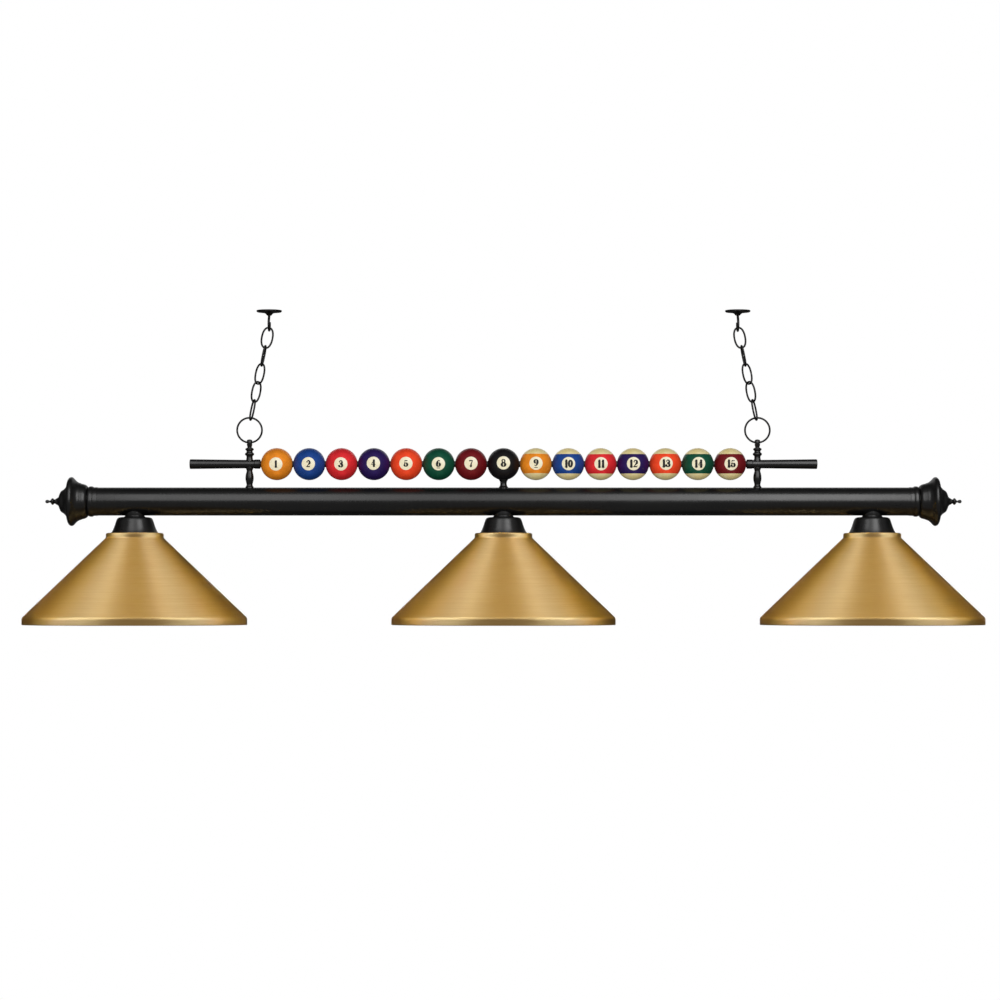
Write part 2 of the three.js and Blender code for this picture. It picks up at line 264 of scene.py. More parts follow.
def cut_with(ob, *bms):
    """Boolean difference, applied."""
    for bm in bms:
        tool = new_object("tool", bm)
        m = ob.modifiers.new("cut", "BOOLEAN")
        m.operation = "DIFFERENCE"
        m.solver = "EXACT"
        m.object = tool
        bake(ob)
        bpy.data.objects.remove(tool)
    return ob


def cope(ob, around, core=None, smooth_angle=40):
    """Cuts the shape `around` away from ob, but leaves what lies inside `core`: a stud that goes on into its hole."""
    tool = new_object("tool_a", around)
    if core is not None:
        keep = new_object("tool_b", core)
        m = tool.modifiers.new("c", "BOOLEAN")
        m.operation, m.solver, m.object = "DIFFERENCE", "EXACT", keep
        bake(tool)
        bpy.data.objects.remove(keep)
    m = ob.modifiers.new("c", "BOOLEAN")
    m.operation, m.solver, m.object = "DIFFERENCE", "EXACT", tool
    bake(ob, smooth_angle)
    bpy.data.objects.remove(tool)
    return ob


def unite(ob, other):
    m = ob.modifiers.new("join", "BOOLEAN")
    m.operation = "UNION"
    m.solver = "EXACT"
    m.object = other
    bake(ob)
    bpy.data.objects.remove(other)
    return ob


def bake(ob, smooth_angle=32):
    bpy.context.view_layer.update()
    dg = bpy.context.evaluated_depsgraph_get()
    me = bpy.data.meshes.new_from_object(ob.evaluated_get(dg))
    ob.modifiers.clear()
    old = ob.data
    ob.data = me
    me.name = ob.name
    bpy.data.meshes.remove(old)
    bm = bmesh.new()
    bm.from_mesh(me)
    bmesh.ops.remove_doubles(bm, verts=bm.verts, dist=3e-6)
    bmesh.ops.dissolve_degenerate(bm, edges=bm.edges, dist=1e-6)
    holes = [e for e in bm.edges if len(e.link_faces) == 1]
    if holes:
        bmesh.ops.holes_fill(bm, edges=holes, sides=0)
    bmesh.ops.recalc_face_normals(bm, faces=bm.faces)
    bm.to_mesh(me)
    bm.free()
    for p in me.polygons:
        p.use_smooth = True
    me.set_sharp_from_angle(angle=math.radians(smooth_angle))
    return ob


def cyl_bm(r, a, b, axis="z", segments=32, at=(0, 0, 0)):
    bm = lathe_bm([(0, a), (r, a), (r, b), (0, b)], segments, axis)
    bmesh.ops.translate(bm, verts=bm.verts, vec=Vector(at) * MM)
    return bm


# ------------------------------------------------------------------ material helpers
class Nodes:
    def __init__(self, name):
        self.m = bpy.data.materials.new(name)
        self.m.use_nodes = True
        self.t = self.m.node_tree
        self.t.nodes.clear()
        self.out = self.t.nodes.new("ShaderNodeOutputMaterial")
        self.b = self.t.nodes.new("ShaderNodeBsdfPrincipled")
        self.t.links.new(self.b.outputs[0], self.out.inputs[0])

    def n(self, kind, **kw):
        node = self.t.nodes.new("ShaderNode" + kind)
        for k, v in kw.items():
            setattr(node, k, v)
        return node

    def link(self, a, b):
        self.t.links.new(a, b)

    def set(self, **kw):
        for k, v in kw.items():
            self.b.inputs[k.replace("_", " ")].default_value = v

    def math(self, op, a, b=None, c=None, clamp=False):
        node = self.n("Math", operation=op)
        node.use_clamp = clamp
        for i, x in enumerate((a, b, c)):
            if x is None:
                continue
            if hasattr(x, "default_value") and hasattr(x, "links"):
                self.link(x, node.inputs[i])
            else:
                node.inputs[i].default_value = x
        return node.outputs[0]

    def noise(self, vector, scale, detail=2.0, rough=0.5, dims="3D"):
        node = self.n("TexNoise", noise_dimensions=dims)
        node.inputs["Scale"].default_value = scale
        node.inputs["Detail"].default_value = detail
        node.inputs["Roughness"].default_value = rough
        if vector is not None:
            self.link(vector, node.inputs["Vector"])
        return node.outputs[0]

    def ramp(self, fac, stops, interpolation="LINEAR"):
        node = self.n("ValToRGB")
        node.color_ramp.interpolation = interpolation
        el = node.color_ramp.elements
        while len(el) < len(stops):
            el.new(0.5)
        for e, (p, c) in zip(el, stops):
            e.position = p
            e.color = tuple(c) + (1.0,) if len(c) == 3 else c
        self.link(fac, node.inputs[0])
        return node.outputs[0]

    def range(self, x, a, b, lo, hi, smooth=False):
        node = self.n("MapRange")
        node.interpolation_type = "SMOOTHSTEP" if smooth else "LINEAR"
        node.clamp = True
        self.link(x, node.inputs[0])
        for i, v in enumerate((a, b, lo, hi), 1):
            node.inputs[i].default_value = v
        return node.outputs[0]

    def mix(self, fac, a, b, blend="MIX"):
        node = self.n("Mix", data_type="RGBA", blend_type=blend)
        if hasattr(fac, "links"):
            self.link(fac, node.inputs[0])
        else:
            node.inputs[0].default_value = fac
        for i, x in ((6, a), (7, b)):
            if hasattr(x, "links"):
                self.link(x, node.inputs[i])
            else:
                node.inputs[i].default_value = tuple(x) + (1.0,) if len(x) == 3 else x
        return node.outputs[2]

    def bump(self, height, strength, distance, normal=None):
        node = self.n("Bump")
        node.inputs["Strength"].default_value = strength
        node.inputs["Distance"].default_value = distance
        self.link(height, node.inputs["Height"])
        if normal is not None:
            self.link(normal, node.inputs["Normal"])
        return node.outputs[0]

    def obj(self):
        return self.n("TexCoord").outputs["Object"]


def srgb(r, g, b):
    f = lambda v: (v / 255) / 12.92 if v / 255 <= 0.04045 else ((v / 255 + 0.055) / 1.055) ** 2.4
    return (f(r), f(g), f(b))


def powder_black(name, base=0.0030, rough=0.26, spec=0.42, grain=1500.0):
    """Matte black stoved powder coat: fine orange peel, faint mottling of tone and gloss, rubbed a little along edges."""
    k = Nodes(name)
    p = k.obj()
    fine = k.noise(p, grain, 3.0, 0.6)
    mid = k.noise(p, 160.0, 3.0, 0.55)
    broad = k.noise(p, 14.0, 4.0, 0.6)
    geo = k.n("NewGeometry")
    edge = k.range(geo.outputs["Pointiness"], 0.53, 0.60, 0.0, 1.0, True)
    rub = k.math("MULTIPLY", edge, k.range(mid, 0.42, 0.62, 0.0, 1.0, True))
    tone = k.mix(k.range(broad, 0.3, 0.7, 0.0, 1.0), (base * 0.85,) * 3, (base * 1.18, base * 1.16, base * 1.13))
    tone = k.mix(k.range(fine, 0.35, 0.75, 0.0, 0.35), tone, (base * 1.9,) * 3)
    tone = k.mix(k.math("MULTIPLY", rub, 0.45), tone, (base * 3.0, base * 2.9, base * 2.75))
    k.link(tone, k.b.inputs["Base Color"])
    r = k.math("ADD", k.range(broad, 0.3, 0.7, rough - 0.03, rough + 0.04), k.range(fine, 0.3, 0.7, -0.02, 0.04))
    r = k.math("SUBTRACT", r, k.math("MULTIPLY", rub, 0.08))
    k.link(r, k.b.inputs["Roughness"])
    k.set(Specular_IOR_Level=spec)
    n1 = k.bump(mid, 0.10, 0.0004)
    k.link(k.bump(fine, 0.22, 0.00012, n1), k.b.inputs["Normal"])
    return k.m


def black_wire(name):
    """Black-plated chain wire: darker, a little shinier, with drawing marks."""
    k = Nodes(name)
    p = k.obj()
    fine = k.noise(p, 900.0, 3.0, 0.6)
    broad = k.noise(p, 60.0, 4.0, 0.6)
    geo = k.n("NewGeometry")
    edge = k.range(geo.outputs["Pointiness"], 0.5, 0.62, 0.0, 1.0, True)
    tone = k.mix(k.range(broad, 0.35, 0.7, 0.0, 1.0), (0.0032, 0.0032, 0.0035), (0.0065, 0.0063, 0.006))
    tone = k.mix(k.math("MULTIPLY", edge, 0.25), tone, (0.02, 0.019, 0.018))
    k.link(tone, k.b.inputs["Base Color"])
    k.link(k.range(broad, 0.3, 0.7, 0.28, 0.42), k.b.inputs["Roughness"])
    k.set(Specular_IOR_Level=0.24)
    k.link(k.bump(fine, 0.25, 0.0001), k.b.inputs["Normal"])
    return k.m


def radial(k, p):
    """Unit direction round the z axis, radius and height of object coordinates."""
    s = k.n("SeparateXYZ")
    k.link(p, s.inputs[0])
    x, y, z = s.outputs
    r = k.math("SQRT", k.math("ADD", k.math("MULTIPLY", x, x), k.math("MULTIPLY", y, y)))
    r_safe = k.math("MAXIMUM", r, 1e-5)
    return k.math("DIVIDE", x, r_safe), k.math("DIVIDE", y, r_safe), r, z


def combine(k, x, y, z):
    c = k.n("CombineXYZ")
    for i, v in enumerate((x, y, z)):
        if hasattr(v, "links"):
            k.link(v, c.inputs[i])
        else:
            c.inputs[i].default_value = v
    return c.outputs[0]


def brushed_gold(name, inside=False):
    """Spun, circumferentially brushed brass under satin lacquer: long fine scratches round the axis."""
    k = Nodes(name)
    p = k.obj()
    ux, uy, r, z = radial(k, p)
    # Distance along the slope counts every change of height and radius, so lines stay even on cone, collar and rim.
    run = k.math("ADD", k.math("MULTIPLY", z, -1.0), k.math("MULTIPLY", r, 0.9))
    long_lines = combine(k, k.math("MULTIPLY", ux, 0.9), k.math("MULTIPLY", uy, 0.9), k.math("MULTIPLY", run, 620.0))
    short_lines = combine(k, k.math("MULTIPLY", ux, 5.0), k.math("MULTIPLY", uy, 5.0), k.math("MULTIPLY", run, 1900.0))
    band = combine(k, k.math("MULTIPLY", ux, 0.5), k.math("MULTIPLY", uy, 0.5), k.math("MULTIPLY", run, 70.0))
    a = k.noise(long_lines, 1.0, 3.0, 0.7)
    b = k.noise(short_lines, 1.0, 2.0, 0.7)
    c = k.noise(band, 1.0, 3.0, 0.55)
    lines = k.math("ADD", k.math("MULTIPLY", a, 0.6), k.math("MULTIPLY", b, 0.4))
    dark, mid, light = (0.57, 0.325, 0.100), (0.64, 0.385, 0.130), (0.70, 0.445, 0.170)
    tone = k.ramp(lines, [(0.32, dark), (0.5, mid), (0.68, light)])
    tone = k.mix(k.range(c, 0.3, 0.7, 0.0, 0.30), tone, (0.655, 0.398, 0.145), "MIX")
    k.link(tone, k.b.inputs["Base Color"])
    rough = k.math("ADD", k.range(lines, 0.3, 0.7, 0.32, 0.40), k.range(c, 0.3, 0.7, -0.02, 0.02))
    k.link(rough, k.b.inputs["Roughness"])
    k.set(Metallic=1.0, Anisotropic=0.5, Anisotropic_Rotation=0.25)
    k.b.inputs["Specular Tint"].default_value = (0.80, 0.55, 0.25, 1.0)
    tan = k.n("Tangent", direction_type="RADIAL", axis="Z")
    k.link(tan.outputs[0], k.b.inputs["Tangent"])
    k.link(k.bump(lines, 0.16, 0.00006), k.b.inputs["Normal"])
    return k.m


def phenolic(name, base=(0.018, 0.017, 0.016), rough=0.38):
    k = Nodes(name)
    p = k.obj()
    fine = k.noise(p, 700.0, 3.0, 0.6)
    broad = k.noise(p, 40.0, 4.0, 0.6)
    k.link(k.mix(k.range(broad, 0.3, 0.7, 0.0, 1.0), tuple(c * 0.8 for c in base), tuple(c * 1.35 for c in base)), k.b.inputs["Base Color"])
    k.link(k.range(broad, 0.3, 0.7, rough - 0.06, rough + 0.08), k.b.inputs["Roughness"])
    k.link(k.bump(fine, 0.12, 0.00008), k.b.inputs["Normal"])
    return k.m


def plated(name, base, rough=0.25, metallic=1.0):
    k = Nodes(name)
    p = k.obj()
    ux, uy, r, z = radial(k, p)
    lines = k.noise(combine(k, k.math("MULTIPLY", ux, 2.0), k.math("MULTIPLY", uy, 2.0), k.math("MULTIPLY", z, 1500.0)), 1.0, 3.0, 0.6)
    broad = k.noise(p, 50.0, 4.0, 0.6)
    k.link(k.mix(k.range(broad, 0.3, 0.7, 0.0, 1.0), tuple(c * 0.85 for c in base), tuple(min(1, c * 1.1) for c in base)), k.b.inputs["Base Color"])
    k.link(k.math("ADD", k.range(lines, 0.3, 0.7, rough - 0.05, rough + 0.07), k.range(broad, 0.3, 0.7, -0.03, 0.05)), k.b.inputs["Roughness"])
    k.set(Metallic=metallic)
    k.link(k.bump(lines, 0.08, 0.00005), k.b.inputs["Normal"])
    return k.m


def opal(name):
    """Soft-white bulb glass: a powdery inner coat seen through clear glass."""
    k = Nodes(name)
    p = k.obj()
    broad = k.noise(p, 30.0, 4.0, 0.55)
    fine = k.noise(p, 1200.0, 2.0, 0.5)
    k.link(k.mix(k.range(broad, 0.3, 0.7, 0.0, 1.0), (0.86, 0.85, 0.81), (0.92, 0.91, 0.88)), k.b.inputs["Base Color"])
    k.link(k.range(fine, 0.3, 0.7, 0.10, 0.16), k.b.inputs["Roughness"])
    k.set(Subsurface_Weight=0.35, Subsurface_Scale=0.004, Coat_Weight=0.6, Coat_Roughness=0.04)
    k.b.inputs["Subsurface Radius"].default_value = (1.0, 0.9, 0.8)
    return k.m


BALL_COLOURS = {
    1: (236, 138, 30), 2: (22, 66, 140), 3: (222, 40, 46), 4: (38, 18, 84), 5: (250, 72, 34),
    6: (6, 76, 54), 7: (112, 14, 22), 8: (16, 14, 17),
}
CREAM = (236, 226, 178)
DISC_HALF_ANGLE = math.asin(10.45 / BALL_R)
STRIPE_HALF = 15.4


def ball_material(number):
    """Cast phenolic ball: colour through the body, inlaid number disc, and a stripe between cream caps on 9 to 15."""
    k = Nodes("ball_resin_%02d" % number)
    p = k.obj()
    colour = srgb(*BALL_COLOURS[(number - 1) % 8 + 1])
    cloud = k.noise(p, 55.0, 4.0, 0.6)
    fleck = k.noise(p, 420.0, 3.0, 0.6)
    deep = tuple(c * 0.82 for c in colour)
    pale = tuple(min(1.0, c * 1.12 + 0.002) for c in colour)
    body = k.mix(k.range(cloud, 0.32, 0.68, 0.0, 1.0, True), deep, pale)
    body = k.mix(k.range(fleck, 0.55, 0.8, 0.0, 0.10), body, tuple(min(1.0, c * 1.5 + 0.01) for c in colour))
    cream_a, cream_b = srgb(232, 212, 146), srgb(244, 230, 180)
    cream = k.mix(k.range(cloud, 0.32, 0.68, 0.0, 1.0, True), cream_a, cream_b)
    s = k.n("SeparateXYZ")
    k.link(p, s.inputs[0])
    x, y, z = s.outputs
    if number > 8:
        edge = k.range(k.math("ABSOLUTE", z), (STRIPE_HALF - 0.12) * MM, (STRIPE_HALF + 0.12) * MM, 0.0, 1.0)
        body = k.mix(edge, body, cream)
    # The disc: a circle on the sphere about the -y direction.
    rr = k.math("SQRT", k.math("ADD", k.math("MULTIPLY", x, x), k.math("MULTIPLY", z, z)))
    rim = BALL_R * math.sin(DISC_HALF_ANGLE)
    disc = k.math("MULTIPLY", k.range(rr, (rim - 0.12) * MM, (rim + 0.12) * MM, 1.0, 0.0), k.math("LESS_THAN", y, 0.0))
    disc_tone = k.mix(k.range(cloud, 0.32, 0.68, 0.0, 1.0, True), srgb(238, 228, 192), srgb(250, 244, 220))
    body = k.mix(disc, body, disc_tone)
    # Handling marks round the bore, where the neighbouring balls rub.
    axis_r = k.math("SQRT", k.math("ADD", k.math("MULTIPLY", y, y), k.math("MULTIPLY", z, z)))
    rub = k.math("MULTIPLY", k.range(axis_r, 0.0062, 0.0090, 1.0, 0.0, True), k.range(fleck, 0.4, 0.65, 0.0, 1.0))
    body = k.mix(k.math("MULTIPLY", rub, 0.35), body, (0.30, 0.27, 0.24))
    k.link(body, k.b.inputs["Base Color"])
    rough = k.math("ADD", k.range(cloud, 0.3, 0.7, 0.40, 0.47), k.math("MULTIPLY", rub, 0.15))
    k.link(rough, k.b.inputs["Roughness"])
    k.set(Specular_IOR_Level=0.22)
    k.link(k.bump(cloud, 0.06, 0.0004), k.b.inputs["Normal"])
    return k.m


def ink(name):
    k = Nodes(name)
    p = k.obj()
    cloud = k.noise(p, 300.0, 3.0, 0.6)
    k.link(k.mix(k.range(cloud, 0.3, 0.7, 0.0, 1.0), (0.006, 0.006, 0.007), (0.016, 0.015, 0.015)), k.b.inputs["Base Color"])
    k.link(k.range(cloud, 0.3, 0.7, 0.42, 0.50), k.b.inputs["Roughness"])
    k.set(Specular_IOR_Level=0.2)
    return k.m


M_BLACK = powder_black("powder_coat_black")
M_CUP = powder_black("cast_cup_black", base=0.0045, rough=0.29, spec=0.40, grain=1100.0)
M_WIRE = black_wire("chain_black")
M_GOLD = brushed_gold("brushed_gold")
M_PHENOLIC = phenolic("moulded_phenolic")
M_BRASS = plated("bulb_cap_metal", (0.72, 0.66, 0.52), 0.22)
M_STEEL = plated("blackened_rod", (0.012, 0.012, 0.013), 0.42, 0.6)
M_OPAL = opal("soft_white_glass")
M_CERAMIC = phenolic("cap_insulator", (0.010, 0.009, 0.009), 0.3)
M_INK = ink("number_ink")
M_SLEEVE = phenolic("wire_sleeve", (0.58, 0.55, 0.48), 0.5)


def finish_piece(ob, material, body, nodes):
    if not ob.data.materials:
        ob.data.materials.append(material)
    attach(ob, body)
    if nodes:
        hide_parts(*nodes)
    return ob


BODY = "lamp_beam"

# ------------------------------------------------------------------ beam
bore = BEAM_R - 1.5
tube = lathe(
    "beam", fillet([(bore, 0), (bore, -BEAM_HALF), (BEAM_R, -BEAM_HALF), (BEAM_R, BEAM_HALF), (bore, BEAM_HALF), (bore, 0)], 0.3, 3),
    96, "x", (0, 0, BEAM_Z))
cut_with(tube, cyl_bm(4.0, 10, 30, "y", 32, (-340, 0, BEAM_Z)), cyl_bm(6.0, -30, -10, "z", 32, (0, 0, BEAM_Z)),
         cyl_bm(6.0, -30, -10, "z", 32, (-SHADE_PITCH, 0, BEAM_Z)), cyl_bm(6.0, -30, -10, "z", 32, (SHADE_PITCH, 0, BEAM_Z)))
finish_piece(tube, M_BLACK, BODY, ["beam_tube"])

collar_profile = (
    fillet([(22.3, 642.9), (22.55, 642.9), (22.7, 643.6), (22.7, 645.2), (22.6, 646.2)], 0.2, 4)
    + smooth_curve([(22.65, 648.8), (23.2, 649.6), (23.95, 651.2), (24.1, 653.2), (23.9, 655.2), (23.2, 656.8), (22.9, 657.3)], 5)
    + [(22.3, 657.3)]
)
cap_outer = (
    [(20.4, 645.0), (20.4, 657.9)]
    + [(21.3, 657.95)]
    + smooth_curve([(21.9, 658.2), (24.4, 659.3), (26.3, 661.6), (27.5, 664.8), (28.1, 667.4), (28.5, 669.0)], 6)
    + smooth_curve([(29.15, 669.6), (29.6, 671.6), (30.9, 674.2), (33.0, 676.9), (35.6, 679.4), (37.6, 681.3), (38.5, 682.8), (38.75, 684.4), (38.3, 686.2), (37.1, 687.8), (35.0, 689.2), (32.4, 690.0)], 6)
    + smooth_curve([(31.6, 690.2), (27.6, 690.9), (24.2, 692.3), (21.3, 694.4), (19.0, 696.9)], 6)
    + smooth_curve([(18.6, 697.5), (17.7, 698.9), (16.4, 700.6), (14.3, 702.1), (11.6, 703.2)], 6)
    + smooth_curve([(11.0, 703.6), (8.6, 704.3), (6.6, 705.6), (5.4, 707.2), (5.0, 708.3)], 6)
)
cap_inner = [(2.8, 708.3), (2.8, 705.4)] + smooth_curve([(6.4, 703.2), (11, 701.2), (16, 697), (20.4, 692), (26, 689.2), (33, 687.6), (36.2, 684.6), (33.2, 680), (29, 675), (27, 669), (25.4, 664.4), (22.4, 661.2), (19.1, 659.8)], 3) + [(19.1, 645.0)]
finial_profile = (
    [(0, 702.2), (2.3, 702.2), (2.3, 708.5)]
    + fillet([(4.2, 708.5), (4.35, 709.2), (3.4, 710.6), (3.1, 711.5)], 0.3, 3)
    + smooth_curve([(3.5, 712.0), (4.9, 713.3), (5.35, 714.4), (4.9, 715.5), (3.4, 716.8)], 5)
    + smooth_curve([(2.6, 717.2), (1.7, 718.2), (1.55, 719.3), (1.9, 720.3)], 4)
    + smooth_curve([(2.3, 720.8), (2.75, 722.4), (2.65, 723.9), (1.9, 725.2), (0.9, 725.85), (0.0, 726.0)], 5)
)
for side, s in SIDES:
    flip = lambda prof: [(r, s * t) for r, t in prof]
    finish_piece(lathe("collar_" + side, flip(collar_profile), 96, "x", (0, 0, BEAM_Z)), M_BLACK, BODY, ["end_collar_" + side])
    finish_piece(lathe("cap_" + side, flip(cap_outer + cap_inner), 96, "x", (0, 0, BEAM_Z), 40), M_BLACK, BODY, ["end_cap_" + side])
    finish_piece(lathe("finial_" + side, flip(finial_profile), 40, "x", (0, 0, BEAM_Z), 40), M_BLACK, BODY, ["end_finial_" + side])

# ------------------------------------------------------------------ sockets, shades and bulbs
cup_outer = (
    [(15.8, -310.0)]
    + [(15.8, -324.4)]
    + smooth_curve([(15.75, -324.6), (15.5, -325.6), (15.9, -326.7), (17.6, -327.5), (20.0, -327.8)], 5)
    + smooth_curve([(22.6, -327.95), (25.3, -328.6), (27.4, -330.1), (28.7, -332.4)], 6)
    + smooth_curve([(29.2, -333.8), (30.3, -337.1), (31.7, -341.4), (33.6, -346.4), (35.6, -350.4), (36.6, -352.0)], 5)
    + [(36.7, -352.6)]
)
cup_inner = [(35.2, -352.6)] + smooth_curve([(34.6, -351.4), (32.6, -347.6), (30.6, -342.6), (29.2, -337.6), (28.2, -333.0), (26.8, -330.9), (24.6, -330.5)], 4) + [(5.6, -330.5), (5.6, -310.0)]

slope = (177.2 - 47.3) / (486.5 - 361.8)
shade_outer = (
    [(20.8, -352.9), (42.0, -352.9)]
    + smooth_curve([(42.9, -352.95), (44.3, -353.45), (45.3, -354.5), (45.6, -355.8)], 6)
    + [(45.6, -359.9)]
    + smooth_curve([(45.65, -360.5), (46.1, -361.2), (46.9, -361.9), (48.2, -363.1)], 5)
    + [(48.2 + slope * d, -363.1 - d) for d in (8, 20, 35, 50, 65, 80, 95, 108, 116)]
    + smooth_curve([(173.2, -483.2), (175.3, -485.1), (176.7, -486.9), (177.45, -489.0), (177.6, -491.2)], 6)
    + smooth_curve([(177.6, -496.0), (177.55, -497.7), (177.1, -498.4), (176.7, -498.5)], 4)
)
shade_inner = (
    [(176.4, -498.2), (176.35, -491.2)]
    + smooth_curve([(176.2, -489.3), (175.6, -487.7), (174.3, -486.1), (172.2, -484.2)], 5)
    + [(48.2 + slope * d - 0.85, -363.1 - d - 0.95) for d in (116, 95, 65, 35, 8)]
    + smooth_curve([(46.9, -363.6), (45.2, -362.0), (44.5, -361.0), (44.4, -359.8)], 4)
    + [(44.4, -356.2)]
    + smooth_curve([(44.25, -355.1), (43.5, -354.3), (42.3, -354.1)], 4)
    + [(20.8, -354.1)]
)
nut_profile = fillet([(20.3, -355.0), (20.3, -354.45), (26.9, -354.45), (26.9, -357.1), (24.1, -357.9), (24.1, -363.3), (20.3, -363.3), (20.3, -355.0)], 0.35, 3)


def ribbed(profile, segments, ribs, depth, lo, hi, axis="z"):
    """A lathe whose radius is fluted between two heights."""
    bm = lathe_bm(profile, segments, axis)
    for v in bm.verts:
        t = v.co.z / MM
        if lo <= t <= hi:
            a = math.atan2(v.co.y, v.co.x)
            r = math.hypot(v.co.x, v.co.y)
            f = (0.5 - 0.5 * math.cos(a * ribs)) ** 0.6
            q = (r - depth * MM * (1 - f)) / r
            v.co.x *= q
            v.co.y *= q
    return bm


glass_profile = smooth_curve(
    [(12.75, -392.4), (13.4, -395.6), (15.2, -400.6), (18.2, -407.2), (22.0, -414.4), (26.0, -422.4), (28.9, -431.4), (29.85, -440.4),
     (28.9, -449.4), (25.8, -457.6), (20.6, -464.0), (14.2, -467.9), (7.2, -469.4), (0.0, -469.6)], 5)

for bay, x in BAYS:
    at = (x, 0, 0)
    cup = lathe("cup_" + bay, cup_outer + cup_inner, 96, "z", at, 40)
    cut_with(cup, cyl_bm(BEAM_R + 0.08, -60, 60, "x", 96, (x, 0, BEAM_Z)))
    finish_piece(cup, M_CUP, BODY, ["socket_cup_" + bay])

    finish_piece(lathe("shade_metal_" + bay, shade_outer + shade_inner, 192, "z", at, 30), M_GOLD, BODY, ["shade_" + bay])
    finish_piece(new_object("ring_nut_" + bay, ribbed(nut_profile, 144, 24, 0.7, -357.5, -354.0), at, 40), M_PHENOLIC, BODY, ["shade_ring_nut_" + bay])

    holder_profile = (
        [(0, -340.0), (3.3, -340.0), (3.3, -315.9), (4.9, -315.9), (4.9, -316.6)]
        + fillet([(5.0, -316.7), (8.2, -316.7), (8.2, -321.3), (4.9, -321.3)], 0.3, 3)
        + [(4.9, -330.95)]
        + fillet([(5.2, -331.0), (15.2, -332.8), (16.9, -337.2), (16.9, -345.8), (19.3, -347.8), (19.3, -364.2), (19.6, -364.6), (19.6, -372.4), (18.4, -373.7), (17.9, -386.0), (16.0, -386.0)], 0.5, 3)
        + fillet([(15.0, -386.0), (13.9, -385.2), (13.9, -361.2), (0, -361.2)], 0.3, 3)
    )
    holder = lathe("holder_" + bay, holder_profile, 72, "z", at)
    finish_piece(holder, M_PHENOLIC, BODY, ["lampholder_" + bay])

    bulb = lathe("bulb_glass_" + bay, glass_profile + [(0.0, -468.9), (7.0, -468.7), (13.9, -467.2), (20.2, -463.4), (25.3, -457.2), (28.3, -449.2), (29.2, -440.4), (28.3, -431.6), (25.4, -422.7), (21.4, -414.8), (17.6, -407.5), (14.6, -400.9), (12.8, -395.8), (12.1, -392.4)], 64, "z", at, 50)
    finish_piece(bulb, M_OPAL, "screwed_bulb_" + bay, ["bulb_" + bay])
    # Screw cap: rolled thread, skirt, insulator and contact.
    thread = [(0.0, -391.8), (12.6, -391.8), (12.75, -391.2), (12.75, -388.6)]
    turns, pitch, top = 5, 3.6, -387.6
    for i in range(turns * 8 + 1):
        t = i / 8.0
        thread.append((12.25 + 0.55 * math.cos(2 * math.pi * t) - (0.9 if i == turns * 8 else 0.0), top + t * pitch))
    thread += [(10.6, -368.6), (8.2, -366.4), (0.0, -366.4)]
    cap_bm = lathe_bm(thread, 64)
    for v in cap_bm.verts:
        t = v.co.z / MM
        r = math.hypot(v.co.x, v.co.y) / MM
        if r > 11 and -387.7 < t < -369.4:
            a = math.atan2(v.co.y, v.co.x)
            ph = 2 * math.pi * (t - top) / pitch + a
            q = (12.25 + 0.55 * math.cos(ph)) / r
            v.co.x *= q
            v.co.y *= q
    cap = new_object("bulb_cap_" + bay, cap_bm, at, 60)
    finish_piece(cap, M_BRASS, "screwed_bulb_" + bay, [])
    tip = lathe("bulb_insulator_" + bay, [(0, -366.5)] + smooth_curve([(8.1, -366.5), (7.0, -365.0), (5.2, -363.6), (4.4, -363.2)], 4) + [(0, -363.2)], 48, "z", at)
    finish_piece(tip, M_CERAMIC, "screwed_bulb_" + bay, [])
    contact = lathe("bulb_contact_" + bay, [(0, -363.3), (4.0, -363.3)] + smooth_curve([(4.0, -363.1), (3.2, -362.4), (1.6, -362.0), (0.0, -361.9)], 4), 32, "z", at)
    finish_piece(contact, M_BRASS, "screwed_bulb_" + bay, [])

# ------------------------------------------------------------------ ball rod
finish_piece(lathe("rod", [(0, -397.0)] + fillet([(0, -397.0), (ROD_R, -397.0), (ROD_R, 0), (ROD_R, 397.0), (0, 397.0)], 0.4, 3)[1:-1] + [(0, 397.0)], 40, "x", (0, 0, ROD_Z)),
             M_STEEL, BODY, ["ball_rod"])

mouth = math.asin(BALL_BORE_R / BALL_R)


def ball_bm():
    prof = [(BALL_BORE_R, -BALL_R * math.cos(mouth) + 0.25)]
    first = mouth + 0.004
    prof.append((BALL_R * math.sin(first), -BALL_R * math.cos(first) + 0.02))
    steps = 48
    for i in range(steps + 1):
        t = first + 0.012 + (i / steps) * (math.pi - 2 * first - 0.024)
        prof.append((BALL_R * math.sin(t), -BALL_R * math.cos(t)))
    prof.append((prof[1][0], -prof[1][1]))
    prof.append((BALL_BORE_R, -prof[0][1]))
    return lathe_bm(prof, 88, "x")


# Digits: strokes with thick and thin parts and slab serifs, in a box 1 unit high. Each stroke is points (x, y, half-width).
def arc(cx, cy, rx, ry, a0, a1, w0, w1, n=14, thick=None):
    pts = []
    for i in range(n + 1):
        t = math.radians(a0 + (a1 - a0) * i / n)
        w = w0 + (w1 - w0) * i / n
        if thick is not None:
            w = thick[0] + (thick[1] - thick[0]) * abs(math.cos(t)) ** 1.3
        pts.append((cx + rx * math.cos(t), cy + ry * math.sin(t), w))
    return pts


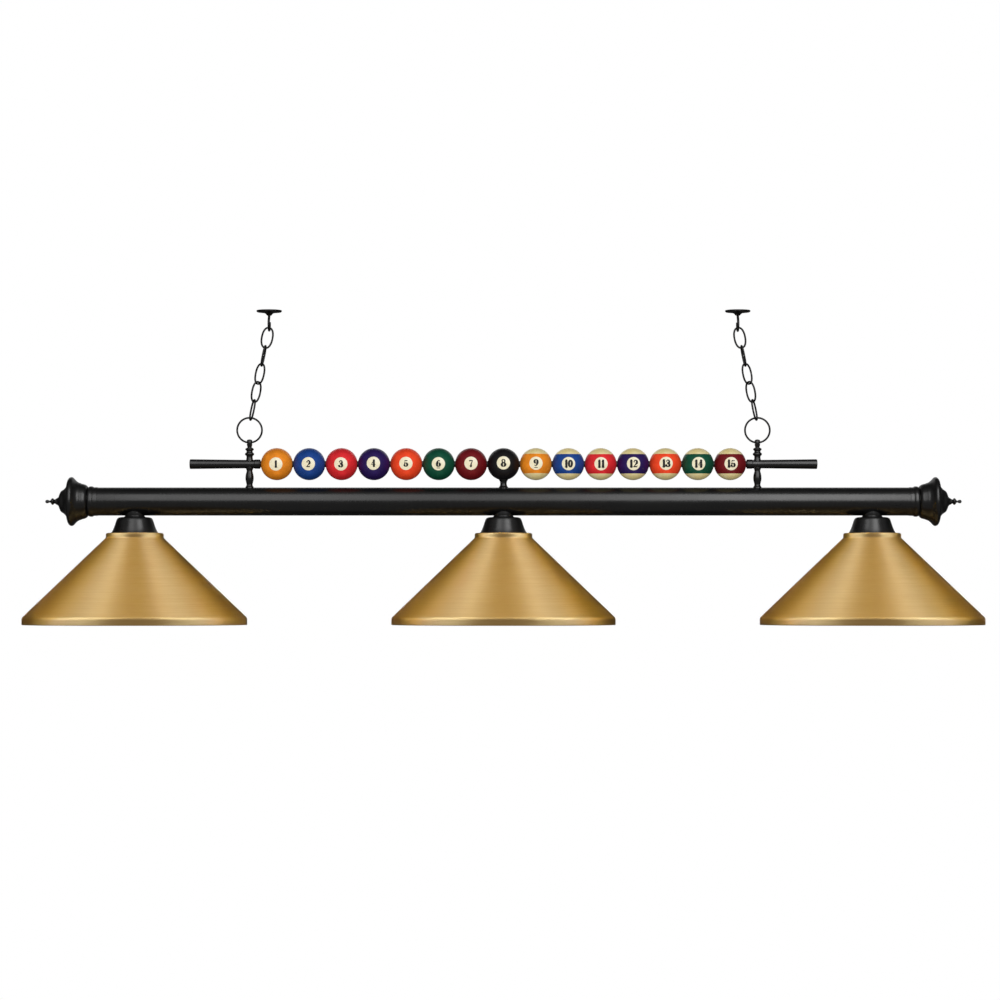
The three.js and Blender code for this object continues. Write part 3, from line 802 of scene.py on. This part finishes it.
K, T = 0.160, 0.088
DIGITS = {
    "0": (0.60, [arc(0.30, 0.5, 0.20, 0.44, 0, 360, K, K, 32, (T, K))]),
    "1": (0.46, [[(0.25, 0.06, K), (0.25, 0.92, K)], [(0.06, 0.045, 0.045), (0.44, 0.045, 0.045)], [(0.07, 0.80, 0.03), (0.16, 0.85, 0.05), (0.25, 0.94, 0.06)]]),
    "2": (0.62, [[(0.13, 0.72, 0.085), (0.13, 0.74, 0.085)], arc(0.31, 0.715, 0.21, 0.235, 175, -40, 0.05, K, 18),
                 [(0.47, 0.565, K), (0.34, 0.37, 0.075), (0.20, 0.22, 0.055), (0.10, 0.10, 0.045)],
                 [(0.08, 0.075, 0.07), (0.30, 0.085, 0.085), (0.46, 0.075, 0.08), (0.53, 0.16, 0.045), (0.55, 0.24, 0.03)]]),
    "3": (0.60, [[(0.12, 0.77, 0.075), (0.13, 0.78, 0.075)], arc(0.29, 0.735, 0.19, 0.215, 165, -80, 0.05, K, 18),
                 arc(0.28, 0.285, 0.22, 0.235, 85, -165, 0.05, K, 20, (0.05, K)), [(0.09, 0.25, 0.08), (0.10, 0.23, 0.08)]]),
    "4": (0.64, [[(0.40, 0.06, K), (0.40, 0.93, K)], [(0.38, 0.95, 0.05), (0.22, 0.66, 0.045), (0.06, 0.35, 0.04)],
                 [(0.04, 0.31, 0.05), (0.60, 0.31, 0.05)], [(0.26, 0.04, 0.042), (0.56, 0.04, 0.042)]]),
    "5": (0.60, [[(0.14, 0.93, 0.03), (0.13, 0.56, 0.045)], [(0.15, 0.895, 0.07), (0.34, 0.885, 0.08), (0.49, 0.91, 0.06)],
                 arc(0.29, 0.31, 0.215, 0.255, 135, -160, 0.045, K, 22, (0.05, K)), [(0.10, 0.24, 0.08), (0.11, 0.22, 0.08)]]),
    "6": (0.62, [arc(0.31, 0.31, 0.205, 0.255, 0, 360, K, K, 28, (0.045, K)), arc(0.46, 0.40, 0.36, 0.53, 175, 100, K, 0.045, 14), [(0.47, 0.84, 0.065), (0.475, 0.82, 0.065)]]),
    "7": (0.60, [[(0.09, 0.86, 0.07), (0.28, 0.88, 0.085), (0.50, 0.87, 0.07)], [(0.53, 0.88, 0.05), (0.44, 0.66, 0.06), (0.33, 0.40, 0.085), (0.29, 0.09, K)], [(0.07, 0.76, 0.035), (0.08, 0.90, 0.05)]]),
    "8": (0.60, [arc(0.30, 0.735, 0.17, 0.205, 0, 360, K, K, 26, (0.045, 0.092)), arc(0.30, 0.275, 0.205, 0.235, 0, 360, K, K, 28, (0.045, K))]),
    "9": (0.62, [arc(0.31, 0.69, 0.205, 0.255, 0, 360, K, K, 28, (0.045, K)), arc(0.16, 0.60, 0.36, 0.53, -5, -80, K, 0.045, 14), [(0.15, 0.16, 0.065), (0.145, 0.18, 0.065)]]),
}


def number_mesh(name, text, height, underline, centre):
    """The number as a thin inlay: strokes sampled as a distance field, contoured, and wrapped on the ball's front."""
    strokes, x = [], 0.0
    for ch in text:
        w, parts = DIGITS[ch]
        for part in parts:
            strokes.append([((px + x), py, pw) for px, py, pw in part])
        x += w + 0.04
    width = x - 0.04
    if underline:
        strokes.append([(0.10, -0.17, 0.05), (width - 0.12, -0.17, 0.05)])
    segs = []
    for st in strokes:
        for a, b in zip(st, st[1:]):
            segs.append((a, b))

    def field(px, py):
        best = 1e9
        for (ax, ay, aw), (bx, by, bw) in segs:
            dx, dy = bx - ax, by - ay
            l2 = dx * dx + dy * dy
            t = 0.0 if l2 < 1e-12 else max(0.0, min(1.0, ((px - ax) * dx + (py - ay) * dy) / l2))
            d = math.hypot(px - ax - dx * t, py - ay - dy * t) - (aw + (bw - aw) * t)
            if d < best:
                best = d
        return best

    step = 0.028
    x0, x1, y0, y1 = -0.14, width + 0.14, (-0.30 if underline else -0.12), 1.12
    nx, ny = int((x1 - x0) / step) + 1, int((y1 - y0) / step) + 1
    val = [[field(x0 + i * step, y0 + j * step) for i in range(nx + 1)] for j in range(ny + 1)]
    bm = bmesh.new()
    cache = {}

    def vert(px, py):
        key = (round(px, 5), round(py, 5))
        if key not in cache:
            ux = (px - width / 2) * height + centre[0]
            uz = (py - 0.5) * height + centre[1]
            y = -math.sqrt(max(BALL_R ** 2 - ux * ux - uz * uz, 1.0))
            n = Vector((ux, y, uz)).normalized()
            cache[key] = bm.verts.new(n * (BALL_R + 0.035) * MM)
        return cache[key]

    for j in range(ny):
        for i in range(nx):
            corners = [(i, j), (i + 1, j), (i + 1, j + 1), (i, j + 1)]
            vals = [val[b][a] for a, b in corners]
            if min(vals) >= 0:
                continue
            poly = []
            for c in range(4):
                (a, b), (e, f) = corners[c], corners[(c + 1) % 4]
                va, vb = vals[c], vals[(c + 1) % 4]
                if va < 0:
                    poly.append((x0 + a * step, y0 + b * step))
                if (va < 0) != (vb < 0):
                    t = va / (va - vb)
                    poly.append((x0 + (a + (e - a) * t) * step, y0 + (b + (f - b) * t) * step))
            vs = []
            for q in poly:
                v = vert(*q)
                if v not in vs:
                    vs.append(v)
            if len(vs) >= 3:
                try:
                    bm.faces.new(vs)
                except ValueError:
                    pass
    bmesh.ops.recalc_face_normals(bm, faces=bm.faces)
    for f in bm.faces:
        if f.normal.y > 0:
            f.normal_flip()
    # Skirt into the ball, so that the inlay is a closed solid.
    rim = [e for e in bm.edges if len(e.link_faces) == 1]
    top = list(bm.faces)
    inner = {}
    for v in list(bm.verts):
        inner[v] = bm.verts.new(v.co.normalized() * (BALL_R - 0.4) * MM)
    for f in top:
        bm.faces.new([inner[v] for v in reversed(f.verts)])
    for e in rim:
        f = e.link_faces[0]
        loop = [l for l in f.loops if l.edge == e][0]
        a, b = loop.vert, loop.link_loop_next.vert
        bm.faces.new((b, a, inner[a], inner[b]))
    me = bpy.data.meshes.new(name)
    bm.to_mesh(me)
    bm.free()
    ob = bpy.data.objects.new(name, me)
    scene.collection.objects.link(ob)
    for p in me.polygons:
        p.use_smooth = False
    return ob


# Each ball's number disc sits where the maker turned it: roll about the rod, in degrees.
NUMBER_HEIGHT = {1: 10.4, 2: 10.8, 3: 11.0, 4: 10.6, 5: 10.6, 6: 11.0, 7: 11.0, 8: 12.4, 9: 11.2}
ROLL = {1: 2.0, 2: 1.0, 3: 1.5, 4: -1.0, 5: -0.5, 6: 1.0, 7: -1.0, 8: -2.5, 9: -1.0, 10: 0.5, 11: 1.0, 12: 0.5, 13: -0.5, 14: 0.5, 15: 0.5}
TILT = {1: -4, 2: 5, 3: -3, 4: 3, 5: -2, 6: 4, 7: -3, 8: 3, 9: -2, 10: 2, 11: -3, 12: 2, 13: -2, 14: 3, 15: -4}
for number in range(1, 16):
    at = ((number - 8) * BALL_PITCH, 0, ROD_Z)
    ob = new_object("ball_%02d_resin" % number, ball_bm(), at, 40)
    ob.data.materials.append(ball_material(number))
    text = str(number)
    h = NUMBER_HEIGHT.get(number, 11.6)
    digits = number_mesh("ball_%02d_number" % number, text, h, number in (6, 9), (0.0, 0.7 if number in (6, 9) else 0.0))
    digits.data.materials.append(M_INK)
    digits.location = ob.location
    roll = math.radians(ROLL[number])
    for o in (ob, digits):
        o.rotation_euler = (roll, 0, 0)
    body = BODY if number == 8 else "turning_ball_%02d" % number

    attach(ob, body)
    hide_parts("ball_%02d" % number)
    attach(digits, body)

# ------------------------------------------------------------------ cue butts
butt_profile = (
    [(0, 398.2), (5.3, 398.2), (5.3, 385.5)]
    + fillet([(5.3, 385.3), (6.9, 385.2), (7.35, 385.9), (7.35, 393.6), (6.85, 394.3), (6.85, 394.9), (6.95, 395.4)], 0.3, 3)
    + [(6.6, 397), (6.75, 410), (7.05, 440), (7.4, 470), (7.65, 490)]
    + smooth_curve([(7.7, 494.6), (7.6, 496.0), (6.9, 496.8), (6.0, 497.0)], 5)
    + [(0, 497.0)]
)
for side, s in SIDES:
    b = lathe("cue_end_" + side, [(r, s * t) for r, t in butt_profile], 56, "x", (0, 0, ROD_Z), 35)
    finish_piece(b, M_BLACK, BODY, ["cue_butt_" + side])

# ------------------------------------------------------------------ posts
hole_z = RING_Z - RING_R
eye_profile = (
    [(0, -204.6)]
    + smooth_curve([(1.6, -204.65), (3.4, -205.3), (4.5, -206.6), (4.9, -208.6), (4.85, -210.8), (4.4, -213.2), (3.7, -215.6), (3.45, -216.9)], 5)
    + smooth_curve([(3.6, -217.5), (5.6, -218.5), (6.6, -219.5), (6.7, -220.4), (6.2, -221.5), (5.1, -222.4)], 5)
    + smooth_curve([(4.9, -223.0), (4.85, -224.0), (5.2, -225.0)], 4)
    + smooth_curve([(5.6, -225.5), (6.9, -226.6), (7.3, -227.9), (6.9, -229.2), (5.7, -230.3)], 5)
    + smooth_curve([(5.1, -230.9), (4.9, -232.4), (5.0, -234.4), (5.5, -236.6), (5.8, -238.4)], 4)
    + [(5.8, -241.0), (2.3, -241.0), (2.3, -259.5), (0, -259.5)]
)
lower_profile = (
    [(0, -262.0), (2.8, -262.0), (2.8, -246.0), (5.8, -246.0), (5.8, -250.6)]
    + smooth_curve([(5.6, -251.4), (4.95, -252.6), (4.6, -254.0), (4.75, -255.6), (5.5, -258.4), (6.2, -261.6), (6.5, -265.0), (6.35, -268.4), (5.7, -271.6), (5.0, -274.4), (4.75, -276.2)], 5)
    + smooth_curve([(4.95, -277.6), (5.8, -279.0), (6.7, -280.4), (7.0, -281.4)], 4)
    + [(7.0, -284.0), (2.3, -284.0), (2.3, -289.4), (0, -289.4)]
)
for side, s in SIDES:
    x = s * POST_X
    at = (x, 0, 0)
    top_post = lathe("ring_post_" + side, eye_profile, 48, "z", at, 40)
    # The eye's hole opens out like a trumpet at both mouths, so the ring can lean in it.
    mouth_cut = lathe_bm([(0, -12), (4.6, -12), (4.6, -6.6), (3.75, -5.0), (3.1, -3.4), (2.72, -1.8), (2.62, 0), (2.72, 1.8), (3.1, 3.4), (3.75, 5.0), (4.6, 6.6), (4.6, 12), (0, 12)], 36, "x")
    bmesh.ops.translate(mouth_cut, verts=mouth_cut.verts, vec=Vector((x * MM, 0, hole_z * MM)))
    cope(top_post, mouth_cut)
    # Both posts are coped to the round butt, and the lower one to the beam.
    cope(top_post, cyl_bm(7.12, -20, 20, "x", 56, (x, 0, ROD_Z)), cyl_bm(2.45, -30, 30, "z", 24, (x, 0, ROD_Z)))
    finish_piece(top_post, M_BLACK, BODY, ["post_eye_" + side])
    low_post = lathe("post_foot_" + side, lower_profile, 48, "z", at, 40)
    cope(low_post, cyl_bm(7.12, -20, 20, "x", 56, (x, 0, ROD_Z)))
    cope(low_post, cyl_bm(BEAM_R + 0.06, -20, 20, "x", 96, (x, 0, BEAM_Z)), cyl_bm(2.45, -40, 40, "z", 24, (x, 0, BEAM_Z)))
    finish_piece(low_post, M_BLACK, BODY, ["post_lower_" + side])

centre_profile = (
    [(0, -249.2), (2.3, -249.2), (2.3, -266.8), (7.0, -266.8), (7.0, -268.4)]
    + smooth_curve([(6.7, -269.4), (5.7, -270.9), (5.2, -272.8), (5.1, -274.6), (5.3, -276.6), (6.1, -278.6), (7.3, -280.2), (8.3, -281.2)], 5)
    + [(8.4, -284.0), (2.3, -284.0), (2.3, -289.4), (0, -289.4)]
)
mid_post = lathe("centre_post", centre_profile, 48, "z", (0, 0, 0), 40)
sphere = [(0, -BALL_R - 0.06)] + [((BALL_R + 0.06) * math.sin(math.pi * i / 60), -(BALL_R + 0.06) * math.cos(math.pi * i / 60)) for i in range(1, 60)] + [(0, BALL_R + 0.06)]
around = lathe_bm(sphere, 64, "z")
bmesh.ops.translate(around, verts=around.verts, vec=Vector((0, 0, ROD_Z * MM)))
cope(mid_post, around, cyl_bm(2.45, -40, 0, "z", 24, (0, 0, ROD_Z)))
cope(mid_post, cyl_bm(BEAM_R + 0.06, -20, 20, "x", 96, (0, 0, BEAM_Z)), cyl_bm(2.45, -40, 40, "z", 24, (0, 0, BEAM_Z)))
finish_piece(mid_post, M_BLACK, BODY, ["post_centre"])

# ------------------------------------------------------------------ rings, chains and hooks
lean = math.radians(CHAIN_LEAN)
touch = 2 * WIRE_R + LINK_GAP
half_link = LINK_LENGTH / 2 - WIRE_R


def seam(u, at, width=0.10, depth=0.16):
    """How much thinner the wire is by its butt joint."""
    d = math.atan2(math.sin(u - at), math.cos(u - at))
    return depth * math.exp(-(d / width) ** 2)


def link_points(n=96, power=2.25):
    a, b = LINK_WIDTH / 2 - WIRE_R, half_link
    pts = []
    for i in range(n):
        u = 2 * math.pi * i / n
        c, s = math.cos(u), math.sin(u)
        pts.append(Vector((a * math.copysign(abs(c) ** (2 / power), c), 0, b * math.copysign(abs(s) ** (2 / power), s))))
    # Even spacing along the oval.
    total, run = 0.0, [0.0]
    for i in range(n):
        total += (pts[(i + 1) % n] - pts[i]).length
        run.append(total)
    even = []
    j = 0
    for i in range(n):
        goal = total * i / n
        while run[j + 1] < goal:
            j += 1
        t = (goal - run[j]) / max(run[j + 1] - run[j], 1e-9)
        even.append(pts[j % n].lerp(pts[(j + 1) % n], t))
    return even


for side, s in SIDES:
    ring_pts, ring_rad = [], []
    for i in range(128):
        u = 2 * math.pi * i / 128
        ring_pts.append(Vector((RING_R * math.cos(u), 0, RING_R * math.sin(u))))
        ring_rad.append(WIRE_R - seam(u, -math.pi / 2 + 0.42 * s, 0.035, 0.18))
    ring = new_object("hanging_ring_wire_" + side, tube_bm(ring_pts, ring_rad, 20, True), (s * POST_X, 0, RING_Z), 60)
    finish_piece(ring, M_WIRE, "hanging_ring_" + side, ["ring_" + side])

    up = Vector((-s * math.sin(lean), 0, math.cos(lean)))
    rl = math.radians(RING_LEAN)
    ring_top = Vector((s * POST_X - s * RING_R * math.sin(rl), 0, RING_Z + RING_R * math.cos(rl)))
    bottom = ring_top - up * touch
    for k in range(5, 0, -1):
        centre = bottom + up * (half_link + (5 - k) * (2 * half_link - touch))
        base = link_points()
        joint = 0 if (k + (s > 0)) % 2 else len(base) // 2
        rad = [WIRE_R - 0.15 * math.exp(-(min(abs(i - joint), len(base) - abs(i - joint)) / 1.1) ** 2) for i in range(len(base))]
        turn = Matrix.Rotation(-s * lean, 3, "Y") @ Matrix.Rotation(math.radians(-s * LINK_TWIST[k - 1]), 3, "Z")
        link = new_object("link_wire_%d_%s" % (k, side), tube_bm([turn @ q for q in base], rad, 18, True), centre, 60)
        finish_piece(link, M_WIRE, "link_%d_%s" % (k, side), ["chain_link_%d_%s" % (k, side)])
        if k == 1:
            top = centre + up * half_link
            bend = Vector((top.x, 0, top.z - WIRE_R - HOOK_WIRE_R - HOOK_GAP - (OPEN_PIVOT_DROP if s > 0 else 0)))
            c = bend.z + HOOK_R
            plate_profile = (
                [(0, -0.02)]
                + fillet([(0, -0.02), (20.0, -0.02), (20.0, -2.0), (18.8, -3.0), (10.0, -4.0), (8.2, -4.4)], [0, 0.35, 0.5, 0.6, 0.6, 0], 4)[1:]
                + smooth_curve([(6.6, -5.0), (5.0, -6.3), (4.0, -7.6), (3.4, -8.3)], 5)
                + [(0, -8.4)]
            )
            plate = lathe("hook_plate_tmp", plate_profile, 96, "z", (bend.x, 0, 0), 40)
            shank = [(0, 0, -3), (0, 0, -7), (0, -0.4, c + 13.4), (0, -3.4, c + 10.4), (0, -7.6, c + 6.5), (0, -10, c), (0, -7.07, c - 7.07),
                     (0, 0, c - HOOK_R), (0, 7.07, c - 7.07), (0, 10, c), (0, 9.4, c + 3.6)]
            path2 = smooth_curve([(0, 0)] * 0 + [(100 + q[1], q[2]) for q in shank], 7)
            pts = [Vector((0, q[0] - 100, q[1])) for q in path2]
            rad = [HOOK_WIRE_R] * len(pts)
            n = len(pts)
            for i in range(6):
                rad[n - 1 - i] = HOOK_WIRE_R * math.sqrt(max(0.06, 1 - ((5 - i) / 5.5) ** 2)) if i < 3 else HOOK_WIRE_R
            wire_ob = new_object("hook_wire_tmp", tube_bm(pts, HOOK_WIRE_R, 24), (bend.x, 0, 0), 60)
            plate.name = "swag_hook_" + side
            unite(plate, wire_ob)
            cut_with(plate, cyl_bm(2.2, -10, 5, "z", 28, (bend.x + 13, 0, 0)), cyl_bm(2.2, -10, 5, "z", 28, (bend.x - 13, 0, 0)))
            finish_piece(plate, M_WIRE, "ceiling_hooks", ["ceiling_hook_" + side])

# ------------------------------------------------------------------ wiring inside the beam
wire_ob = bpy.data.objects.new("wiring_tmp", bpy.data.meshes.new("wiring_tmp"))
bpy.data.objects.remove(wire_ob)
bm = bmesh.new()
pts = [Vector((-SHADE_PITCH - 1.8 + i * (2 * SHADE_PITCH + 3.6) / 200, 0.5 * math.sin(i * 0.35), -311.5 + 0.25 * math.sin(i * 0.5))) for i in range(201)]
harness = new_object("harness", tube_bm(pts, 1.6, 12), (0, 0, 0), 60)
for _, x in BAYS:
    drop = new_object("drop", tube_bm([Vector((x, 0, -311.2 - i * 1.7)) for i in range(16)], 1.6, 12), (0, 0, 0), 60)
    unite(harness, drop)
splice = lathe("splice", [(0, -352), (3.2, -352), (5.3, -346), (5.7, -330), (4.6, -328), (0, -328)], 24, "x", (0, 0, -308.5))
unite(harness, splice)
finish_piece(harness, M_SLEEVE, BODY, ["wiring_harness"])

# ------------------------------------------------------------------ stage: floor, backdrop and lights
def stage_plane(name, size, z):
    bm = bmesh.new()
    h = size / 2
    bm.faces.new([bm.verts.new(q) for q in ((-h, -h, z), (h, -h, z), (h, h, z), (-h, h, z))])
    me = bpy.data.meshes.new(name)
    bm.to_mesh(me)
    bm.free()
    ob = bpy.data.objects.new(name, me)
    scene.collection.objects.link(ob)
    return ob


floor = stage_plane("floor", 150.0, -6.5)
fm = bpy.data.materials.new("floor_pale")
fm.use_nodes = True
ft = fm.node_tree
ft.nodes.clear()
fo = ft.nodes.new("ShaderNodeOutputMaterial")
fe = ft.nodes.new("ShaderNodeEmission")
fe.inputs[0].default_value = (1.0, 1.0, 1.0, 1.0)
fe.inputs[1].default_value = 1.0
ft.links.new(fe.outputs[0], fo.inputs[0])
floor.data.materials.append(fm)
for flag in ("visible_diffuse", "visible_glossy", "visible_transmission", "visible_volume_scatter", "visible_shadow"):
    setattr(floor, flag, False)

bm = bmesh.new()
bmesh.ops.create_icosphere(bm, subdivisions=4, radius=70.0)
bmesh.ops.reverse_faces(bm, faces=bm.faces)
me = bpy.data.meshes.new("backdrop")
bm.to_mesh(me)
bm.free()
dome = bpy.data.objects.new("backdrop", me)
scene.collection.objects.link(dome)
dome.data.materials.append(fm)
for flag in ("visible_diffuse", "visible_glossy", "visible_transmission", "visible_volume_scatter", "visible_shadow"):
    setattr(dome, flag, False)

world = bpy.data.worlds.new("studio")
scene.world = world
world.use_nodes = True
wt = world.node_tree
bg = wt.nodes["Background"]
bg.inputs[0].default_value = (1.0, 1.0, 1.0, 1.0)
where = wt.nodes.new("ShaderNodeTexCoord")
part = wt.nodes.new("ShaderNodeSeparateXYZ")
fade = wt.nodes.new("ShaderNodeMapRange")
fade.interpolation_type = "SMOOTHSTEP"
wt.links.new(where.outputs["Generated"], part.inputs[0])
wt.links.new(part.outputs[1], fade.inputs[0])
for q, v in enumerate((-0.35, 0.25, 0.26, 0.05), 1):
    fade.inputs[q].default_value = v
wt.links.new(fade.outputs[0], bg.inputs[1])

groups = {}
for group in ("black", "gold", "balls"):
    groups[group] = bpy.data.collections.new("lit_" + group)
for ob in list(scene.objects):
    if ob.type != "MESH" or ob.hide_render or not ob.data.materials:
        continue
    name = ob.data.materials[0].name
    group = "gold" if name.startswith("brushed_gold") else "balls" if name.startswith(("ball_resin", "number_ink")) else "black"
    groups[group].objects.link(ob)
# Each shade has a rig of its own, turned to face the camera's line to it and shaded by that shade only, so that the
# three look alike.
bpy.context.view_layer.update()
SHADE_X = {"gold_left": -SHADE_PITCH * MM, "gold_centre": 0.0, "gold_right": SHADE_PITCH * MM}
for group, x in SHADE_X.items():
    groups[group] = bpy.data.collections.new("lit_" + group)
    for ob in groups["gold"].objects:
        middle = sum((ob.matrix_world @ Vector(q) for q in ob.bound_box), Vector()) / 8
        if abs(middle.x - x) < 0.2:
            groups[group].objects.link(ob)


def softbox(name, at, target, size, radiance, colour=(1, 1, 1), only=None):
    """A soft rectangular light of a given radiance; `only` names the group of pieces it is flagged for."""
    data = bpy.data.lights.new(name, "AREA")
    data.shape = "RECTANGLE"
    data.size, data.size_y = size
    data.energy = radiance * math.pi * size[0] * size[1]
    data.color = colour
    ob = bpy.data.objects.new(name, data)
    ob.location = at
    d = Vector(target) - Vector(at)
    ob.rotation_euler = d.to_track_quat("-Z", "Y").to_euler()
    ob.visible_camera = False
    scene.collection.objects.link(ob)
    if only:
        ob.light_linking.receiver_collection = groups[only]
        if only.startswith("gold_"):
            ob.light_linking.blocker_collection = groups[only]
            data.cycles.use_multiple_importance_sampling = False
    return ob


def towards(azimuth, elevation, distance):
    """A place seen from the lamp's middle: azimuth 0 is the front, 90 the right."""
    a, e = math.radians(azimuth), math.radians(elevation)
    return (distance * math.cos(e) * math.sin(a), -distance * math.cos(e) * math.cos(a), -0.36 + distance * math.sin(e))


centre = (0, 0, -0.36)
# One long overhead front light in four lengths, brighter towards the right.
for name, x, width, radiance in (("key_a", -1.25, 1.4, 2.9), ("key_b", -0.15, 0.8, 1.35), ("key_c", 0.50, 0.5, 2.9), ("key_d", 1.40, 1.3, 5.6)):
    softbox(name, (x, -2.45, 1.35), (x, 0, -0.30), (width, 3.0), radiance, only="black")
softbox("back_low", (0.0, 3.8, 1.6), (0, 0, -0.35), (5.0, 2.0), 0.5, only="black")
softbox("ball_back", (0.0, 3.4, 1.2), centre, (5.0, 2.4), 1.3, only="balls")
softbox("ball_key", (0.1, -3.4, 1.5), centre, (5.0, 2.4), 2.0, only="balls")
softbox("ball_fill", (0.0, -4.6, -0.2), centre, (6.5, 3.0), 1.25, only="balls")
softbox("ball_below", (0.0, -3.2, -2.6), centre, (6.0, 2.4), 0.7, only="balls")
GOLD_LIGHTS = [  # azimuth, elevation, radiance, colour; every one off the middle line has a twin on the other side
    (104, 12, 0.59, (1.00, 0.99, 0.52)),
    (156, 12, 0.48, (0.48, 0.49, 1.00)),
    (52, 12, 1.27, (0.45, 0.63, 1.00)),
    (78, 12, 1.81, (0.47, 0.59, 1.00)),
    (104, 35, 0.52, (0.76, 0.99, 1.00)),
    (130, 35, 0.39, (1.00, 0.83, 0.00)),
    (52, 35, 1.59, (0.60, 0.76, 1.00)),
    (78, 35, 1.52, (0.51, 0.68, 1.00)),
    (108, 58, 0.55, (0.96, 1.00, 0.95)),
    (180, 58, 0.56, (1.00, 0.82, 0.68)),
    (36, 58, 0.96, (0.91, 1.00, 0.97)),
    (72, 58, 2.02, (0.41, 0.56, 1.00)),
    (0, 82, 0.47, (1.00, 0.85, 0.22)),
]
for group, x in SHADE_X.items():
    turn = math.degrees(math.atan2(cam.location.x - x, -cam.location.y))
    for azimuth, elevation, radiance, colour in GOLD_LIGHTS:
        for s in ((-1, 1) if 0 < azimuth < 180 else (1,)):
            q = towards(s * azimuth + turn, elevation, 9.0)
            softbox("%s_%d_%d" % (group, elevation, s * azimuth), (q[0] + x, q[1], q[2]), (x, 0, -0.36), (5.2, 5.2), radiance, colour, group)

scene.view_settings.view_transform = "Standard"
scene.view_settings.look = "None"
scene.view_settings.exposure = 0.0
scene.view_settings.gamma = 1.0
